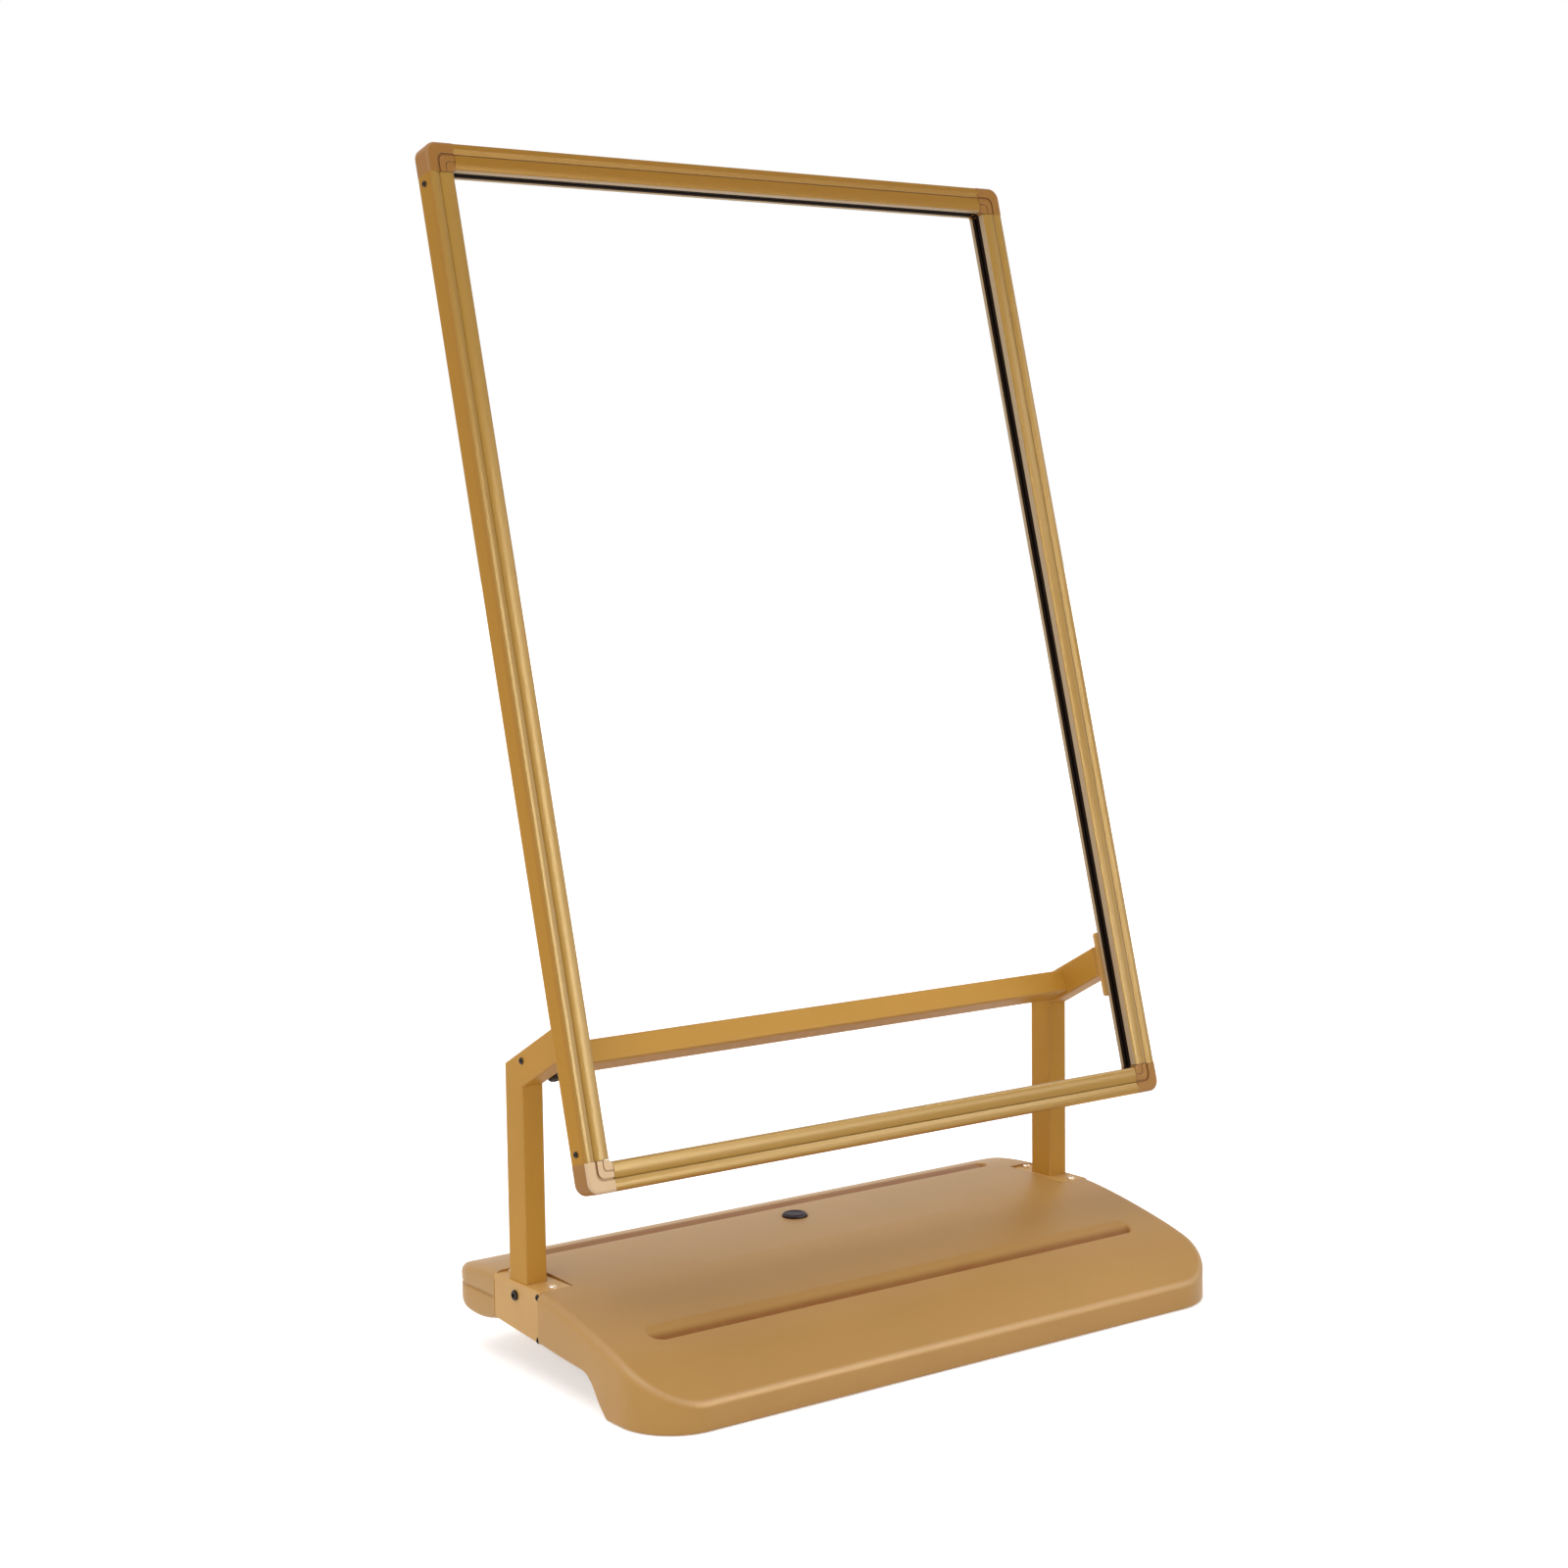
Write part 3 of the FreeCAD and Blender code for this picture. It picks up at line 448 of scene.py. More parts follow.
def moulded_grain():
    """Fine pebbled grain of moulded plastic, with slow changes of tone."""
    group, given, result = effect("moulded_grain", {"Grains": 900.0, "Drift": 7.0}, ("Height", "Tone"))
    if given:
        pebbles = add_node(group, "ShaderNodeTexVoronoi", {
            "Vector": given["Vector"], "Scale": given["Grains"], "Randomness": 1.0}, feature="SMOOTH_F1")
        fine = noise(group, given["Vector"], given["Grains"], 3.0, 0.6)
        height = maths(group, "MULTIPLY", pebbles.outputs["Distance"], fine)
        group.links.new(height, result["Height"])
        group.links.new(noise(group, given["Vector"], given["Drift"], 5.0, 0.55), result["Tone"])
    return group


def drawn_lines():
    """Fine lines along the length of a drawn bar, from noise stretched along the surface map, and
    wider streaks of tone."""
    group, given, result = effect("drawn_lines", {"Lines": 2600.0, "Reach": 0.25}, ("Height", "Tone"))
    if given:
        split = add_node(group, "ShaderNodeSeparateXYZ", {0: given["Vector"]})
        across = maths(group, "MULTIPLY", split.outputs[0], given["Lines"])
        along = maths(group, "MULTIPLY", split.outputs[1], given["Reach"])
        stretched = add_node(group, "ShaderNodeCombineXYZ", {0: across, 1: along}).outputs[0]
        wide = add_node(group, "ShaderNodeVectorMath", {0: stretched, 1: (0.06, 0.5, 1.0)},
                        operation="MULTIPLY").outputs[0]
        group.links.new(noise(group, stretched, 1.0, 4.0, 0.6), result["Height"])
        group.links.new(noise(group, wide, 1.0, 3.0, 0.5), result["Tone"])
    return group


def paint_skin():
    """Slight ripple of sprayed paint with small specks in it."""
    group, given, result = effect("paint_skin", {"Ripples": 420.0, "Drift": 9.0}, ("Height", "Tone"))
    if given:
        ripple = noise(group, given["Vector"], given["Ripples"], 2.0, 0.5)
        flakes = add_node(group, "ShaderNodeTexVoronoi", {
            "Vector": given["Vector"], "Scale": 2600.0, "Randomness": 1.0})
        slow = noise(group, given["Vector"], given["Drift"], 4.0, 0.5)
        speck = maths(group, "MULTIPLY", flakes.outputs["Distance"], 0.35)
        tone = maths(group, "ADD", slow, maths(group, "SUBTRACT", speck, 0.1), True)
        group.links.new(ripple, result["Height"])
        group.links.new(tone, result["Tone"])
    return group


def broken_mask(name, source, most, scale, detail, roughness, levels):
    """Mask of a piece times an amount, broken up by noise between two levels."""
    group, given, result = effect(name, {source: 0.0, "Amount": most}, ("Mask",))
    if given:
        patches = spread(group, noise(group, given["Vector"], scale, detail, roughness), *levels)
        strong = maths(group, "MULTIPLY", given[source], given["Amount"])
        group.links.new(maths(group, "MULTIPLY", patches, strong, True), result["Mask"])
    return group


# Edges lightened partly by wear and partly by a painted highlight along the rounds
def edge_rub():
    return broken_mask("edge_rub", "Edge", 0.5, 160.0, 4.0, 0.65, (0.45, 1.0))


# Painted shade in grooves and sunk channels, where the hollow mask lies
def settled_dirt():
    return broken_mask("settled_dirt", "Hollow", 0.9, 45.0, 5.0, 0.6, (0.6, 1.2))


# Finishes
def finish(name, shade, texture, values, contrast, wear_and_highlight_amount, roughness, bump, on_surface=False, **plain):
    """Material whose colour, gloss and relief follow one texture effect, with edges lightened by wear
    and a painted highlight, and painted shade in its hollows. shade is the name of its colour, values
    the effect's own inputs, contrast the darkest and lightest share of the colour,
    wear_and_highlight_amount the amount of wear and painted highlight on edges, roughness its two
    ends, bump the strength and depth in millimetres of the relief, and plain the shader's values that
    are the same all over. The effect runs on the surface map or in object coordinates."""
    material = bpy.data.materials.get(name)
    if material:
        return material
    material = bpy.data.materials.new(name)
    material.use_nodes = True
    tree = material.node_tree
    shader = tree.nodes["Principled BSDF"]
    if on_surface:
        vector = add_node(tree, "ShaderNodeUVMap", uv_map="surface").outputs[0]
    else:
        vector = tree.nodes.new("ShaderNodeTexCoord").outputs["Object"]
    edge, hollow = (add_node(tree, "ShaderNodeAttribute", attribute_name=label).outputs["Fac"]
                    for label in ("edge", "hollow"))
    grain = add_node(tree, "ShaderNodeGroup", {"Vector": vector, **values}, node_tree=texture)
    worn_and_lit_edges = add_node(tree, "ShaderNodeGroup", {"Vector": vector, "Edge": edge, "Amount": wear_and_highlight_amount},
                      node_tree=edge_rub())
    hollow_shade = add_node(tree, "ShaderNodeGroup", {"Vector": vector, "Hollow": hollow},
                     node_tree=settled_dirt())
    base = np.array(getattr(settings().colours, shade))
    dark, light, worn_and_lit, painted_shade = (
        tuple(np.minimum(channels, 1.0)) + (1.0,)
        for channels in (base * contrast[0], base * contrast[1], (1 - WORN_AND_LIT_SHARE) * base + WORN_AND_LIT_SHARE, base * PAINTED_SHADE_TINT))
    body = blend_colours(tree, grain.outputs["Tone"], dark, light)
    # Edges are lightened by wear and painted highlight; hollows are darkened by painted shade
    body = blend_colours(tree, worn_and_lit_edges.outputs["Mask"], body, worn_and_lit)
    tree.links.new(blend_colours(tree, hollow_shade.outputs["Mask"], body, painted_shade), shader.inputs["Base Color"])
    tree.links.new(spread(tree, grain.outputs["Height"], *roughness), shader.inputs["Roughness"])
    relief = add_node(tree, "ShaderNodeBump", {
        "Height": grain.outputs["Height"], "Strength": bump[0], "Distance": bump[1] * MM})
    tree.links.new(relief.outputs[0], shader.inputs["Normal"])
    for key, value in plain.items():
        shader.inputs[key.replace("_", " ")].default_value = value
    return material


def drawn_finish(name, shade, contrast, roughness, **plain):
    return finish(name, shade, drawn_lines(), {}, contrast, 0.1, roughness, (0.015, 0.05),
                  on_surface=True, **plain)


def profile_finish(deep):
    """Satin gold of the profiles; the deep one, on the top rail, is a darker copy with less sheen,
    painted shade.
    """
    if deep:
        return drawn_finish("satin_gold_deep", "edge", (0.96, 1.04), (0.25, 0.29),
                            Specular_IOR_Level=0.2, Specular_Tint=GOLD_GLOSS)
    return drawn_finish("satin_gold_profile", "profile", (0.96, 1.04), (0.25, 0.29),
                        Specular_IOR_Level=0.32, Specular_Tint=PALE_GLOSS)


# Outer sides of the frame: darker gold, painted shade
def shaded_side_finish():
    return drawn_finish("satin_gold_edge", "edge", (0.96, 1.04), (0.32, 0.38), Metallic=0.6,
                        Specular_IOR_Level=0.2, Specular_Tint=GOLD_GLOSS)


# Inward faces beside the poster slot: paler grey, painted light
def lit_lip_finish():
    return drawn_finish("worn_lip", "lip", (0.94, 1.06), (0.45, 0.55), Specular_IOR_Level=0.2)


def tube_finish():
    return finish("gold_paint", "tube", paint_skin(), {}, (0.92, 1.08), 0.2, (0.4, 0.5), (0.1, 0.08),
                  Specular_IOR_Level=0.18, Specular_Tint=GOLD_GLOSS)


def sheet_finish():
    return finish("gold_sheet_paint", "sheet", paint_skin(), {"Drift": 20.0}, (0.9, 1.08), 0.2,
                  (0.4, 0.52), (0.12, 0.08), Specular_IOR_Level=0.45)


def corner_finish(faded):
    name, shade = ("faded_corner", "faded_corner") if faded else ("moulded_corner", "corner")
    return finish(name, shade, moulded_grain(), {"Grains": 1500.0, "Drift": 30.0}, (0.9, 1.1), 0.35,
                  (0.4, 0.55), (0.2, 0.05), Specular_IOR_Level=0.25, Specular_Tint=CORNER_GLOSS)


def base_finish():
    return finish("moulded_base", "base", moulded_grain(), {}, (0.89, 1.11), 0.3, (0.38, 0.52),
                  (0.3, 0.12), Specular_IOR_Level=0.45, Specular_Tint=BASE_GLOSS)


def stopper_finish():
    return finish("stopper_black", "stopper", moulded_grain(), {"Drift": 60.0}, (0.8, 1.2), 0.15,
                  (0.42, 0.55), (0.15, 0.05), Specular_IOR_Level=0.15)


def lining_finish():
    return finish("lining_rubber", "lining", drawn_lines(), {"Lines": 900.0}, (0.7, 1.3), 0.1,
                  (0.6, 0.8), (0.1, 0.1), on_surface=True, Specular_IOR_Level=0.06)


def steel_finish():
    return finish("bright_steel", "steel", paint_skin(), {"Ripples": 1500.0, "Drift": 300.0},
                  (0.8, 1.15), 0.0, (0.25, 0.4), (0.1, 0.03), Metallic=0.9)


def black_steel_finish():
    return finish("blackened_steel", "black_steel", paint_skin(), {"Ripples": 1500.0, "Drift": 300.0},
                  (0.7, 1.3), 0.0, (0.35, 0.5), (0.1, 0.03), Metallic=0.5)


# Poster frame
def frame_sides():
    """Name, kind, outer corner line, inward direction, long direction and ends of each side."""
    stile = (CORNER_SIZE, FRAME_HEIGHT - CORNER_SIZE)
    rail = (CORNER_SIZE - HALF_WIDTH, HALF_WIDTH - CORNER_SIZE)
    return (("left", "stile", FOOT - HALF_WIDTH * MM * SIDE, SIDE, UP, stile),
            ("right", "stile", FOOT + HALF_WIDTH * MM * SIDE, -SIDE, UP, stile),
            ("bottom", "rail", FOOT, UP, SIDE, rail),
            ("top", "rail", FOOT + FRAME_HEIGHT * MM * UP, -UP, SIDE, rail))


def in_groove(outline, first, last, shallow, deep):
    """1 at the points of an outline that lie down in a groove, 0 at the others."""
    s, depth = outline.T
    return ((s > first) & (s < last) & (depth > shallow) & (depth < deep)).astype(float)


def carried(outline, edge, origin, across, along, stations, hollow=0.0):
    """Profile carried straight: point k at station j lies at
    origin + s_k*across + d_k*back + t_j*along."""
    section = origin + MM * (outline[:, :1] * across + outline[:, 1:] * BACK)
    rows = section[None] + MM * np.asarray(stations, float)[:, None, None] * along
    return closed_skin(rows, edge, hollow)


def bar_outline(sizes):
    """Fixed profile: a band with a rounded outer edge and a slope to the groove, the open cradle
    for the flap's bead, and the lip behind the poster slot."""
    small, brow = sizes.edge_round / MM, BAND_WIDTH + BAND_BROW
    cradle = circle_points((PIVOT_S, PIVOT_D), CRADLE_RADIUS, 180, 12.4, 14)
    band = [(0, 0, sizes.band_round / MM), (brow - sizes.band_bevel / MM, 0, 4.0),
            (brow, BAND_SLOPE_DEPTH, 0.25), (BAND_WIDTH, PIVOT_D, 0)]
    slot = [(CRADLE_END, CRADLE_LIP, small), (CRADLE_END, SLOT_FRONT, 0), (BAND_WIDTH, SLOT_FRONT, 0),
            (BAND_WIDTH, SLOT_BACK, 0), (FACE_WIDTH, SLOT_BACK, small)]
    rear = [(FACE_WIDTH, PROFILE_DEPTH, 1.0), (0, PROFILE_DEPTH, 2.5)]
    return rounded_outline(band + cradle.tolist() + slot + rear)


def flap_outline(sizes):
    """Flap: a round bead, a barrel-shaped plate and a lip that closes on the poster. The plate's
    face falls from its crown with the square of the way to either side."""
    bead = circle_points((PIVOT_S, PIVOT_D), BEAD_RADIUS, -25.94, 230, 22)
    s = np.linspace(FLAP_START, FLAP_END, 16)
    fall = sizes.flap_crown / MM * ((s - FLAP_CROWN) / (FLAP_CROWN - FLAP_START)) ** 2
    face = np.stack((s, fall, 0 * s), 1)
    lip = [(FACE_WIDTH, FLAP_EDGE, 1.0), (FACE_WIDTH, FLAP_LIP_END, 0.3),
           (FACE_WIDTH - FLAP_LIP, FLAP_LIP_END, 0.3), (FACE_WIDTH - FLAP_LIP, FLAP_LIP_TOP, 0.5)]
    return rounded_outline(lip + bead.tolist() + face.tolist())


def lining_outline():
    """Lining of the poster slot, with a groove for the sheet and its panel."""
    inner, small = FACE_WIDTH - LINING_SETBACK, 0.3
    middle, deep = (SLOT_FRONT + SLOT_BACK) / 2, inner - SHEET_REACH
    low, high = middle - SHEET_HALF, middle + SHEET_HALF
    corners = [(BAND_WIDTH, SLOT_FRONT, 0), (inner, SLOT_FRONT, small), (inner, low, small),
               (deep, low, 0), (deep, high, 0), (inner, high, small), (inner, SLOT_BACK, small),
               (BAND_WIDTH, SLOT_BACK, 0)]
    return rounded_outline(corners, 3)


def corner_outline():
    """Profile of a corner piece: a rounded outer edge, two grooves in its face, and an inner wall
    divided where the poster slot runs past it."""
    lip = 0.35
    face = [(0, 0, 2.5), (BAND_WIDTH, 0, lip), (BAND_WIDTH, GROOVE_FLOOR, 0.2),
            (GROOVE_END, GROOVE_FLOOR, 0.2), (GROOVE_END, 0, lip), (LINE_START, 0, lip),
            (LINE_START, LINE_FLOOR, 0.1), (LINE_END, LINE_FLOOR, 0.1), (LINE_END, 0, lip)]
    wall = [(FACE_WIDTH, 0, 0.8), (FACE_WIDTH, SLOT_FRONT, 0), (FACE_WIDTH, SLOT_BACK, 0),
            (FACE_WIDTH, PROFILE_DEPTH, 0.8), (0, PROFILE_DEPTH, 2.0)]
    return rounded_outline(face + wall, 5)


def bent_rows(outline, radius, origin, first, second):
    """Corner profile carried round a bend. At inset s the path runs from the first side along
    second = s, turns on a radius of radius*(1 - s/size) and runs along first = s to the other side."""
    s, depth = outline.T
    bend = radius * (1 - s / CORNER_SIZE)
    angle = np.radians(np.linspace(270, 180, 15))[:, None]
    far = np.full((1, len(s)), CORNER_SIZE)
    on_first = np.concatenate((far, s + bend + bend * np.cos(angle), s[None]))[..., None]
    on_second = np.concatenate((s[None], s + bend + bend * np.sin(angle), far))[..., None]
    return origin + MM * (on_first * first + on_second * second + depth[:, None] * BACK)


# Posts, arms and crossbar
def tube_patch(origin, first, second, width, depth, along, planes):
    """Tube: the points of a rounded rectangle, laid out from an origin along two directions, are
    slid along a third until they meet each end plane (point, normal)."""
    small = settings().sizes.tube_round / MM
    corners = [(0, 0, small), (width, 0, small), (width, depth, small), (0, depth, small)]
    outline, edge = rounded_outline(corners, 5)
    section = origin + MM * (outline[:, :1] * first + outline[:, 1:] * second)
    rows = [section + ((point - section) @ normal / (along @ normal))[:, None] * along
            for point, normal in planes]
    return closed_skin(np.stack(rows), edge)


# Base
def natural_curve(points):
    """Smooth curve z(y) through points: cubic pieces that share slope and bend, with no bend at
    either end. Returns a function that gives height and slope."""
    y, z = np.asarray(points, float).T
    gap = np.diff(y)
    rise = np.diff(z) / gap
    inner = np.diag(2 * (gap[:-1] + gap[1:])) + np.diag(gap[1:-1], 1) + np.diag(gap[1:-1], -1)
    bend = np.concatenate(([0], np.linalg.solve(inner, 6 * np.diff(rise)), [0]))

    def at(where):
        where = np.clip(where, y[0], y[-1])
        k = np.clip(np.searchsorted(y, where) - 1, 0, len(gap) - 1)
        left, right = where - y[k], y[k + 1] - where
        low, high = bend[k] * gap[k] / 6, bend[k + 1] * gap[k] / 6
        height = (bend[k] * right ** 3 + bend[k + 1] * left ** 3) / (6 * gap[k]) \
            + (z[k] / gap[k] - low) * right + (z[k + 1] / gap[k] - high) * left
        slope = (bend[k + 1] * left ** 2 - bend[k] * right ** 2) / (2 * gap[k]) + rise[k] - high + low
        return height, slope
    return at


crest_at = natural_curve(CREST)
arch_at = natural_curve(ARCH)
SIDE_TAPER = (BASE_FRONT - BASE_REAR) / (2 * BASE_DEPTH)
SIDE_OUT = np.array((1.0, SIDE_TAPER)) / np.hypot(1.0, SIDE_TAPER)


def side_reach(y):
    """Half length of the base at y, along its sloping side."""
    return BASE_FRONT - (y + BASE_DEPTH) * SIDE_TAPER


def plan_corners():
    """Centre, radius and sense along y of the front and rear corners of the plan. A centre is as
    far from the sloping side as its radius."""
    for y, radius, sense in ((FRONT_CORNER - BASE_DEPTH, FRONT_CORNER, -1),
                             (BASE_DEPTH - REAR_CORNER, REAR_CORNER, 1)):
        yield side_reach(y) - radius / SIDE_OUT[0], y, radius, sense


def plan_reach(y):
    """Half length of the base at y: the sloping side, or the round of a corner."""
    reach = side_reach(y)
    for x_centre, y_centre, radius, sense in plan_corners():
        off = y - y_centre
        round_part = x_centre + np.sqrt(np.maximum(radius ** 2 - off ** 2, 0))
        beyond = sense * (off - radius * SIDE_OUT[1]) > 0
        reach = np.where(beyond, np.minimum(round_part, reach), reach)
    return reach


def plan_distance(x, y):
    """Distance inwards from the plan's edge and the inward direction there: the least of the
    distances to the four sides, or in a corner's sector its radius less the way from its centre."""
    across = np.abs(x)
    side = (BASE_FRONT - across - (y + BASE_DEPTH) * SIDE_TAPER) * SIDE_OUT[0]
    front, rear = y + BASE_DEPTH, BASE_DEPTH - y
    distance = np.minimum(np.minimum(side, front), rear)
    inward_x = np.where(distance == side, -SIDE_OUT[0], 0.0)
    inward_y = np.where(distance == side, -SIDE_OUT[1], np.where(distance == front, 1.0, -1.0))
    for x_centre, y_centre, radius, sense in plan_corners():
        off_x, off_y = across - x_centre, y - y_centre
        away = np.maximum(np.hypot(off_x, off_y), 1e-6)
        sector = (off_x * SIDE_OUT[0] + off_y * SIDE_OUT[1] > 0) & (sense * off_y > 0)
        distance = np.where(sector, radius - away, distance)
        inward_x = np.where(sector, -off_x / away, inward_x)
        inward_y = np.where(sector, -off_y / away, inward_y)
    return distance, inward_x * np.sign(x), inward_y


def smooth_share(value):
    """Value held between 0 and 1, with soft ends: 3*v^2 - 2*v^3."""
    share = np.clip(value, 0, 1)
    return share * share * (3 - 2 * share)


def base_top(x, y, sizes):
    """Top of the base: the crest curve, less the round of the edge, less the sunk channels.
    The round is the circle that touches the wall and the top where it rises inwards at a tilt:
    z = crest - d*tan + r*tan - r/cos + sqrt(r^2 - (r - d)^2) up to d = r*(1 - sin).
    Returns the height, the mask of the round and the mask of painted shade in the channels."""
    distance, _, inward_y = plan_distance(x, y)
    height, slope = crest_at(y)
    radius = sizes.base_round / MM
    tilt = np.arctan(slope * inward_y)
    near = np.clip(distance, 0, radius)
    arc = height - near * np.tan(tilt) + radius * np.tan(tilt) - radius / np.cos(tilt) \
        + np.sqrt(np.maximum(radius ** 2 - (radius - near) ** 2, 0))
    band = radius * (1 - np.sin(tilt))
    top = np.where(near < band, arc, height)
    hollow = np.zeros(top.shape)
    # Painted shade on the deep part of each channel floor, next to its front wall
    for centre, surface, fall, shade_depth in CHANNELS:
        reach = CHANNEL_HALF - np.hypot(np.maximum(np.abs(x) - CHANNEL_END, 0), y - centre)
        tilt_of_floor = tan(fall) + CHANNEL_DEPTH / (2 * CHANNEL_HALF)
        floor = surface - CHANNEL_DEPTH / 2 + (y - centre) * tilt_of_floor
        share = smooth_share(reach / (sizes.channel_lip / MM))
        depth = np.maximum(top - floor, 0)
        hollow = np.maximum(hollow, share * smooth_share((depth - shade_depth) / SHADE_FADE + 0.5))
        top = top - share * depth
    edge = np.where(near < band, np.sin(np.pi * near / np.maximum(band, 1e-6)), 0)
    return top, edge, hollow


def underside_at(y):
    """Height of the underside: the floor in front of the heel, and the arch curve behind it."""
    return np.where(y < HEEL_Y, 0.0, arch_at(y)[0])


def stepped(*stretches):
    """Values through stretches (start, end, count), each value once."""
    parts = [np.linspace(start, end, count, endpoint=False) for start, end, count in stretches]
    return np.concatenate(parts + [[stretches[-1][1]]])


def base_rows():
    """Places of the rows from front to rear, close together on the rounds, channel walls and the
    square round the filler, with the two edges of the bracket recess given twice."""
    front = -BASE_DEPTH + FRONT_CORNER * (1 - np.cos(np.radians(np.linspace(0, 90, 21)[:-1])))
    rear_turn = np.sin(np.radians(np.linspace(0, 90, 19)))
    rear = BASE_DEPTH - REAR_CORNER + REAR_CORNER * rear_turn
    square_low, square_high = FILLER_Y - FILLER_SQUARE, FILLER_Y + FILLER_SQUARE
    lip_start, lip_end, far = FRONT_CHANNEL - 12.5, FRONT_CHANNEL - 9.5, FRONT_CHANNEL + 14.5
    middle = stepped((front[-1] + 3.0, lip_start, 3), (lip_start, lip_end, 6), (lip_end, HEEL_Y, 2),
                     (HEEL_Y, far, 11), (far, RECESS_FRONT, 14))
    centre = stepped((RECESS_FRONT, square_low, 8), (square_low, square_high, 2 * SQUARE_STEPS),
                     (square_high, RECESS_REAR, 1))
    lip_start, lip_end, far = REAR_CHANNEL - 13.0, REAR_CHANNEL - 9.0, REAR_CHANNEL + 13.0
    back = stepped((RECESS_REAR, lip_start, 4), (lip_start, lip_end, 8), (lip_end, far, 11),
                   (far, rear[0] - 1.0, 2))
    rows = np.concatenate((front, middle, centre, back, rear))
    first = len(front) + len(middle)
    inside = np.zeros(len(rows), bool)
    inside[first:first + len(centre)] = True
    return rows, inside


FIXED_COLUMNS = stepped((0.0, FILLER_SQUARE, SQUARE_STEPS), (FILLER_SQUARE, CHANNEL_END - 5.0, 20),
                        (CHANNEL_END - 5.0, CHANNEL_END + 14.0, 25), (CHANNEL_END + 14.0, SHELF_X, 3))
OUTER_SHARES = 1 - (1 - np.linspace(0, 1, 18)) ** 2


def half_columns(shelf, reach):
    """Columns of half of each row: the fixed places drawn in as the shelf is, then shares of the
    way from the shelf to the reach."""
    return np.concatenate((shelf / SHELF_X * FIXED_COLUMNS, shelf + OUTER_SHARES * (reach - shelf)), 1)


def both_sides(half, sign=1):
    """Half grid joined to its mirror image along the first column."""
    return np.concatenate((sign * half[:, :0:-1], half), 1)


def border(grid):
    """Border of a grid as one loop: first row, last column, last row and first column."""
    return np.concatenate((grid[0, :-1], grid[:-1, -1], grid[-1, :0:-1], grid[:0:-1, 0]))


def set_border(grid, loop):
    """Put a loop of values back on the border of a grid."""
    rows, columns = grid.shape[0] - 1, grid.shape[1] - 1
    first, last_column, last, first_column = np.split(loop, np.cumsum((columns, rows, columns)))
    grid[0, :-1], grid[:-1, -1] = first, last_column
    grid[-1, :0:-1], grid[:0:-1, 0] = last, first_column


def base_wall(rim, recessed, sizes):
    """Wall of the base, level by level from the rim of its top down to the underside. A level is
    the rim moved inwards by an inset: the seam's shares of its depth, then the toe's quarter circle,
    r*(1 - cos) in and r*(1 - sin) above the underside."""
    x, y, z = rim.T
    _, inward_x, inward_y = plan_distance(x, y)
    inward_x = np.where(recessed, -np.sign(x), inward_x)
    inward_y = np.where(recessed, 0.0, inward_y)
    low, toe = underside_at(y), sizes.base_toe / MM
    at_seam = (y > SEAM_Y) & (z > SEAM_HIGH)
    levels = [(z, 0 * z)]
    for level, share in SEAM_STEPS:
        inset = np.where(at_seam, share * sizes.seam_depth / MM, 0.0)
        levels.append((np.clip(level, low + toe, z), inset))
    for angle in np.radians(np.linspace(0, 90, 7)):
        inset = np.full_like(low, toe * (1 - cos(angle)))
        levels.append((np.minimum(low + toe * (1 - sin(angle)), z), inset))
    return np.stack([np.stack((x + inset * inward_x, y + inset * inward_y, height), 1)
                     for height, inset in levels])


def base_underside(plan, rim, sizes):
    """Underside of the base: its border is the lowest level of the wall, its columns are laid out
    as those of the top, and its height is the arch curve."""
    x, y = plan[..., 0], plan[..., 1]
    under_x, under_y = x.copy(), y.copy()
    set_border(under_x, rim[:, 0])
    set_border(under_y, rim[:, 1])
    inner = slice(1, -1)
    reach = np.minimum(under_x[inner, -1:], POST_OUTER - sizes.base_toe / MM)
    shelf = np.minimum(SHELF_X, reach - 1)
    under_x[inner, inner] = both_sides(half_columns(shelf, reach), -1)[:, inner]
    share = (x - x[:, :1]) / (x[:, -1:] - x[:, :1])
    first, last = under_y[inner, :1], under_y[inner, -1:]
    under_y[inner, inner] = (first + share[inner] * (last - first))[:, inner]
    under_z = underside_at(under_y)
    set_border(under_z, rim[:, 2])
    return np.stack((under_x, under_y, under_z), 2)


def filler_well(square, sizes):
    """Filler well: rings that go from a square in the top to the round rim of the seat, and then
    circles over the seat, down the bevelled bore and in to the middle of its floor."""
    centre = np.array((0.0, FILLER_Y))
    ray = square - centre
    ray = ray / np.linalg.norm(ray, axis=1, keepdims=True)
    rings = []
    for share in (0.0, 0.5, 1.0):
        ring = square + share * (centre + FILLER_RIM * ray - square)
        rings.append(np.column_stack((ring, base_top(ring[:, 0], ring[:, 1], sizes)[0])))
    for radius, height in ((FILLER_SEAT, FILLER_SEAT_Z), (FILLER_BORE + FILLER_BEVEL, FILLER_SEAT_Z),
                           (FILLER_BORE, FILLER_SEAT_Z - FILLER_BEVEL), (FILLER_BORE, FILLER_FLOOR_Z),
                           (0.0, FILLER_FLOOR_Z)):
        rings.append(np.column_stack((centre + radius * ray, np.full(len(ray), height))))
    return np.stack(rings)


def rear_foot():
    """Rear foot: a rounded rectangle at each height, widening upwards, that ends inside the base."""
    rows = []
    for height, out in FOOT_STEPS:
        half, front, rear = FOOT_HALF + out, FOOT_FRONT - out, FOOT_REAR + out
        corners = [(-half, front, FOOT_CORNER), (half, front, FOOT_CORNER), (half, rear, FOOT_CORNER),
                   (-half, rear, FOOT_CORNER)]
        outline, _ = rounded_outline(corners)
        rows.append(np.column_stack((outline, np.full(len(outline), height))))
    return np.stack(rows)


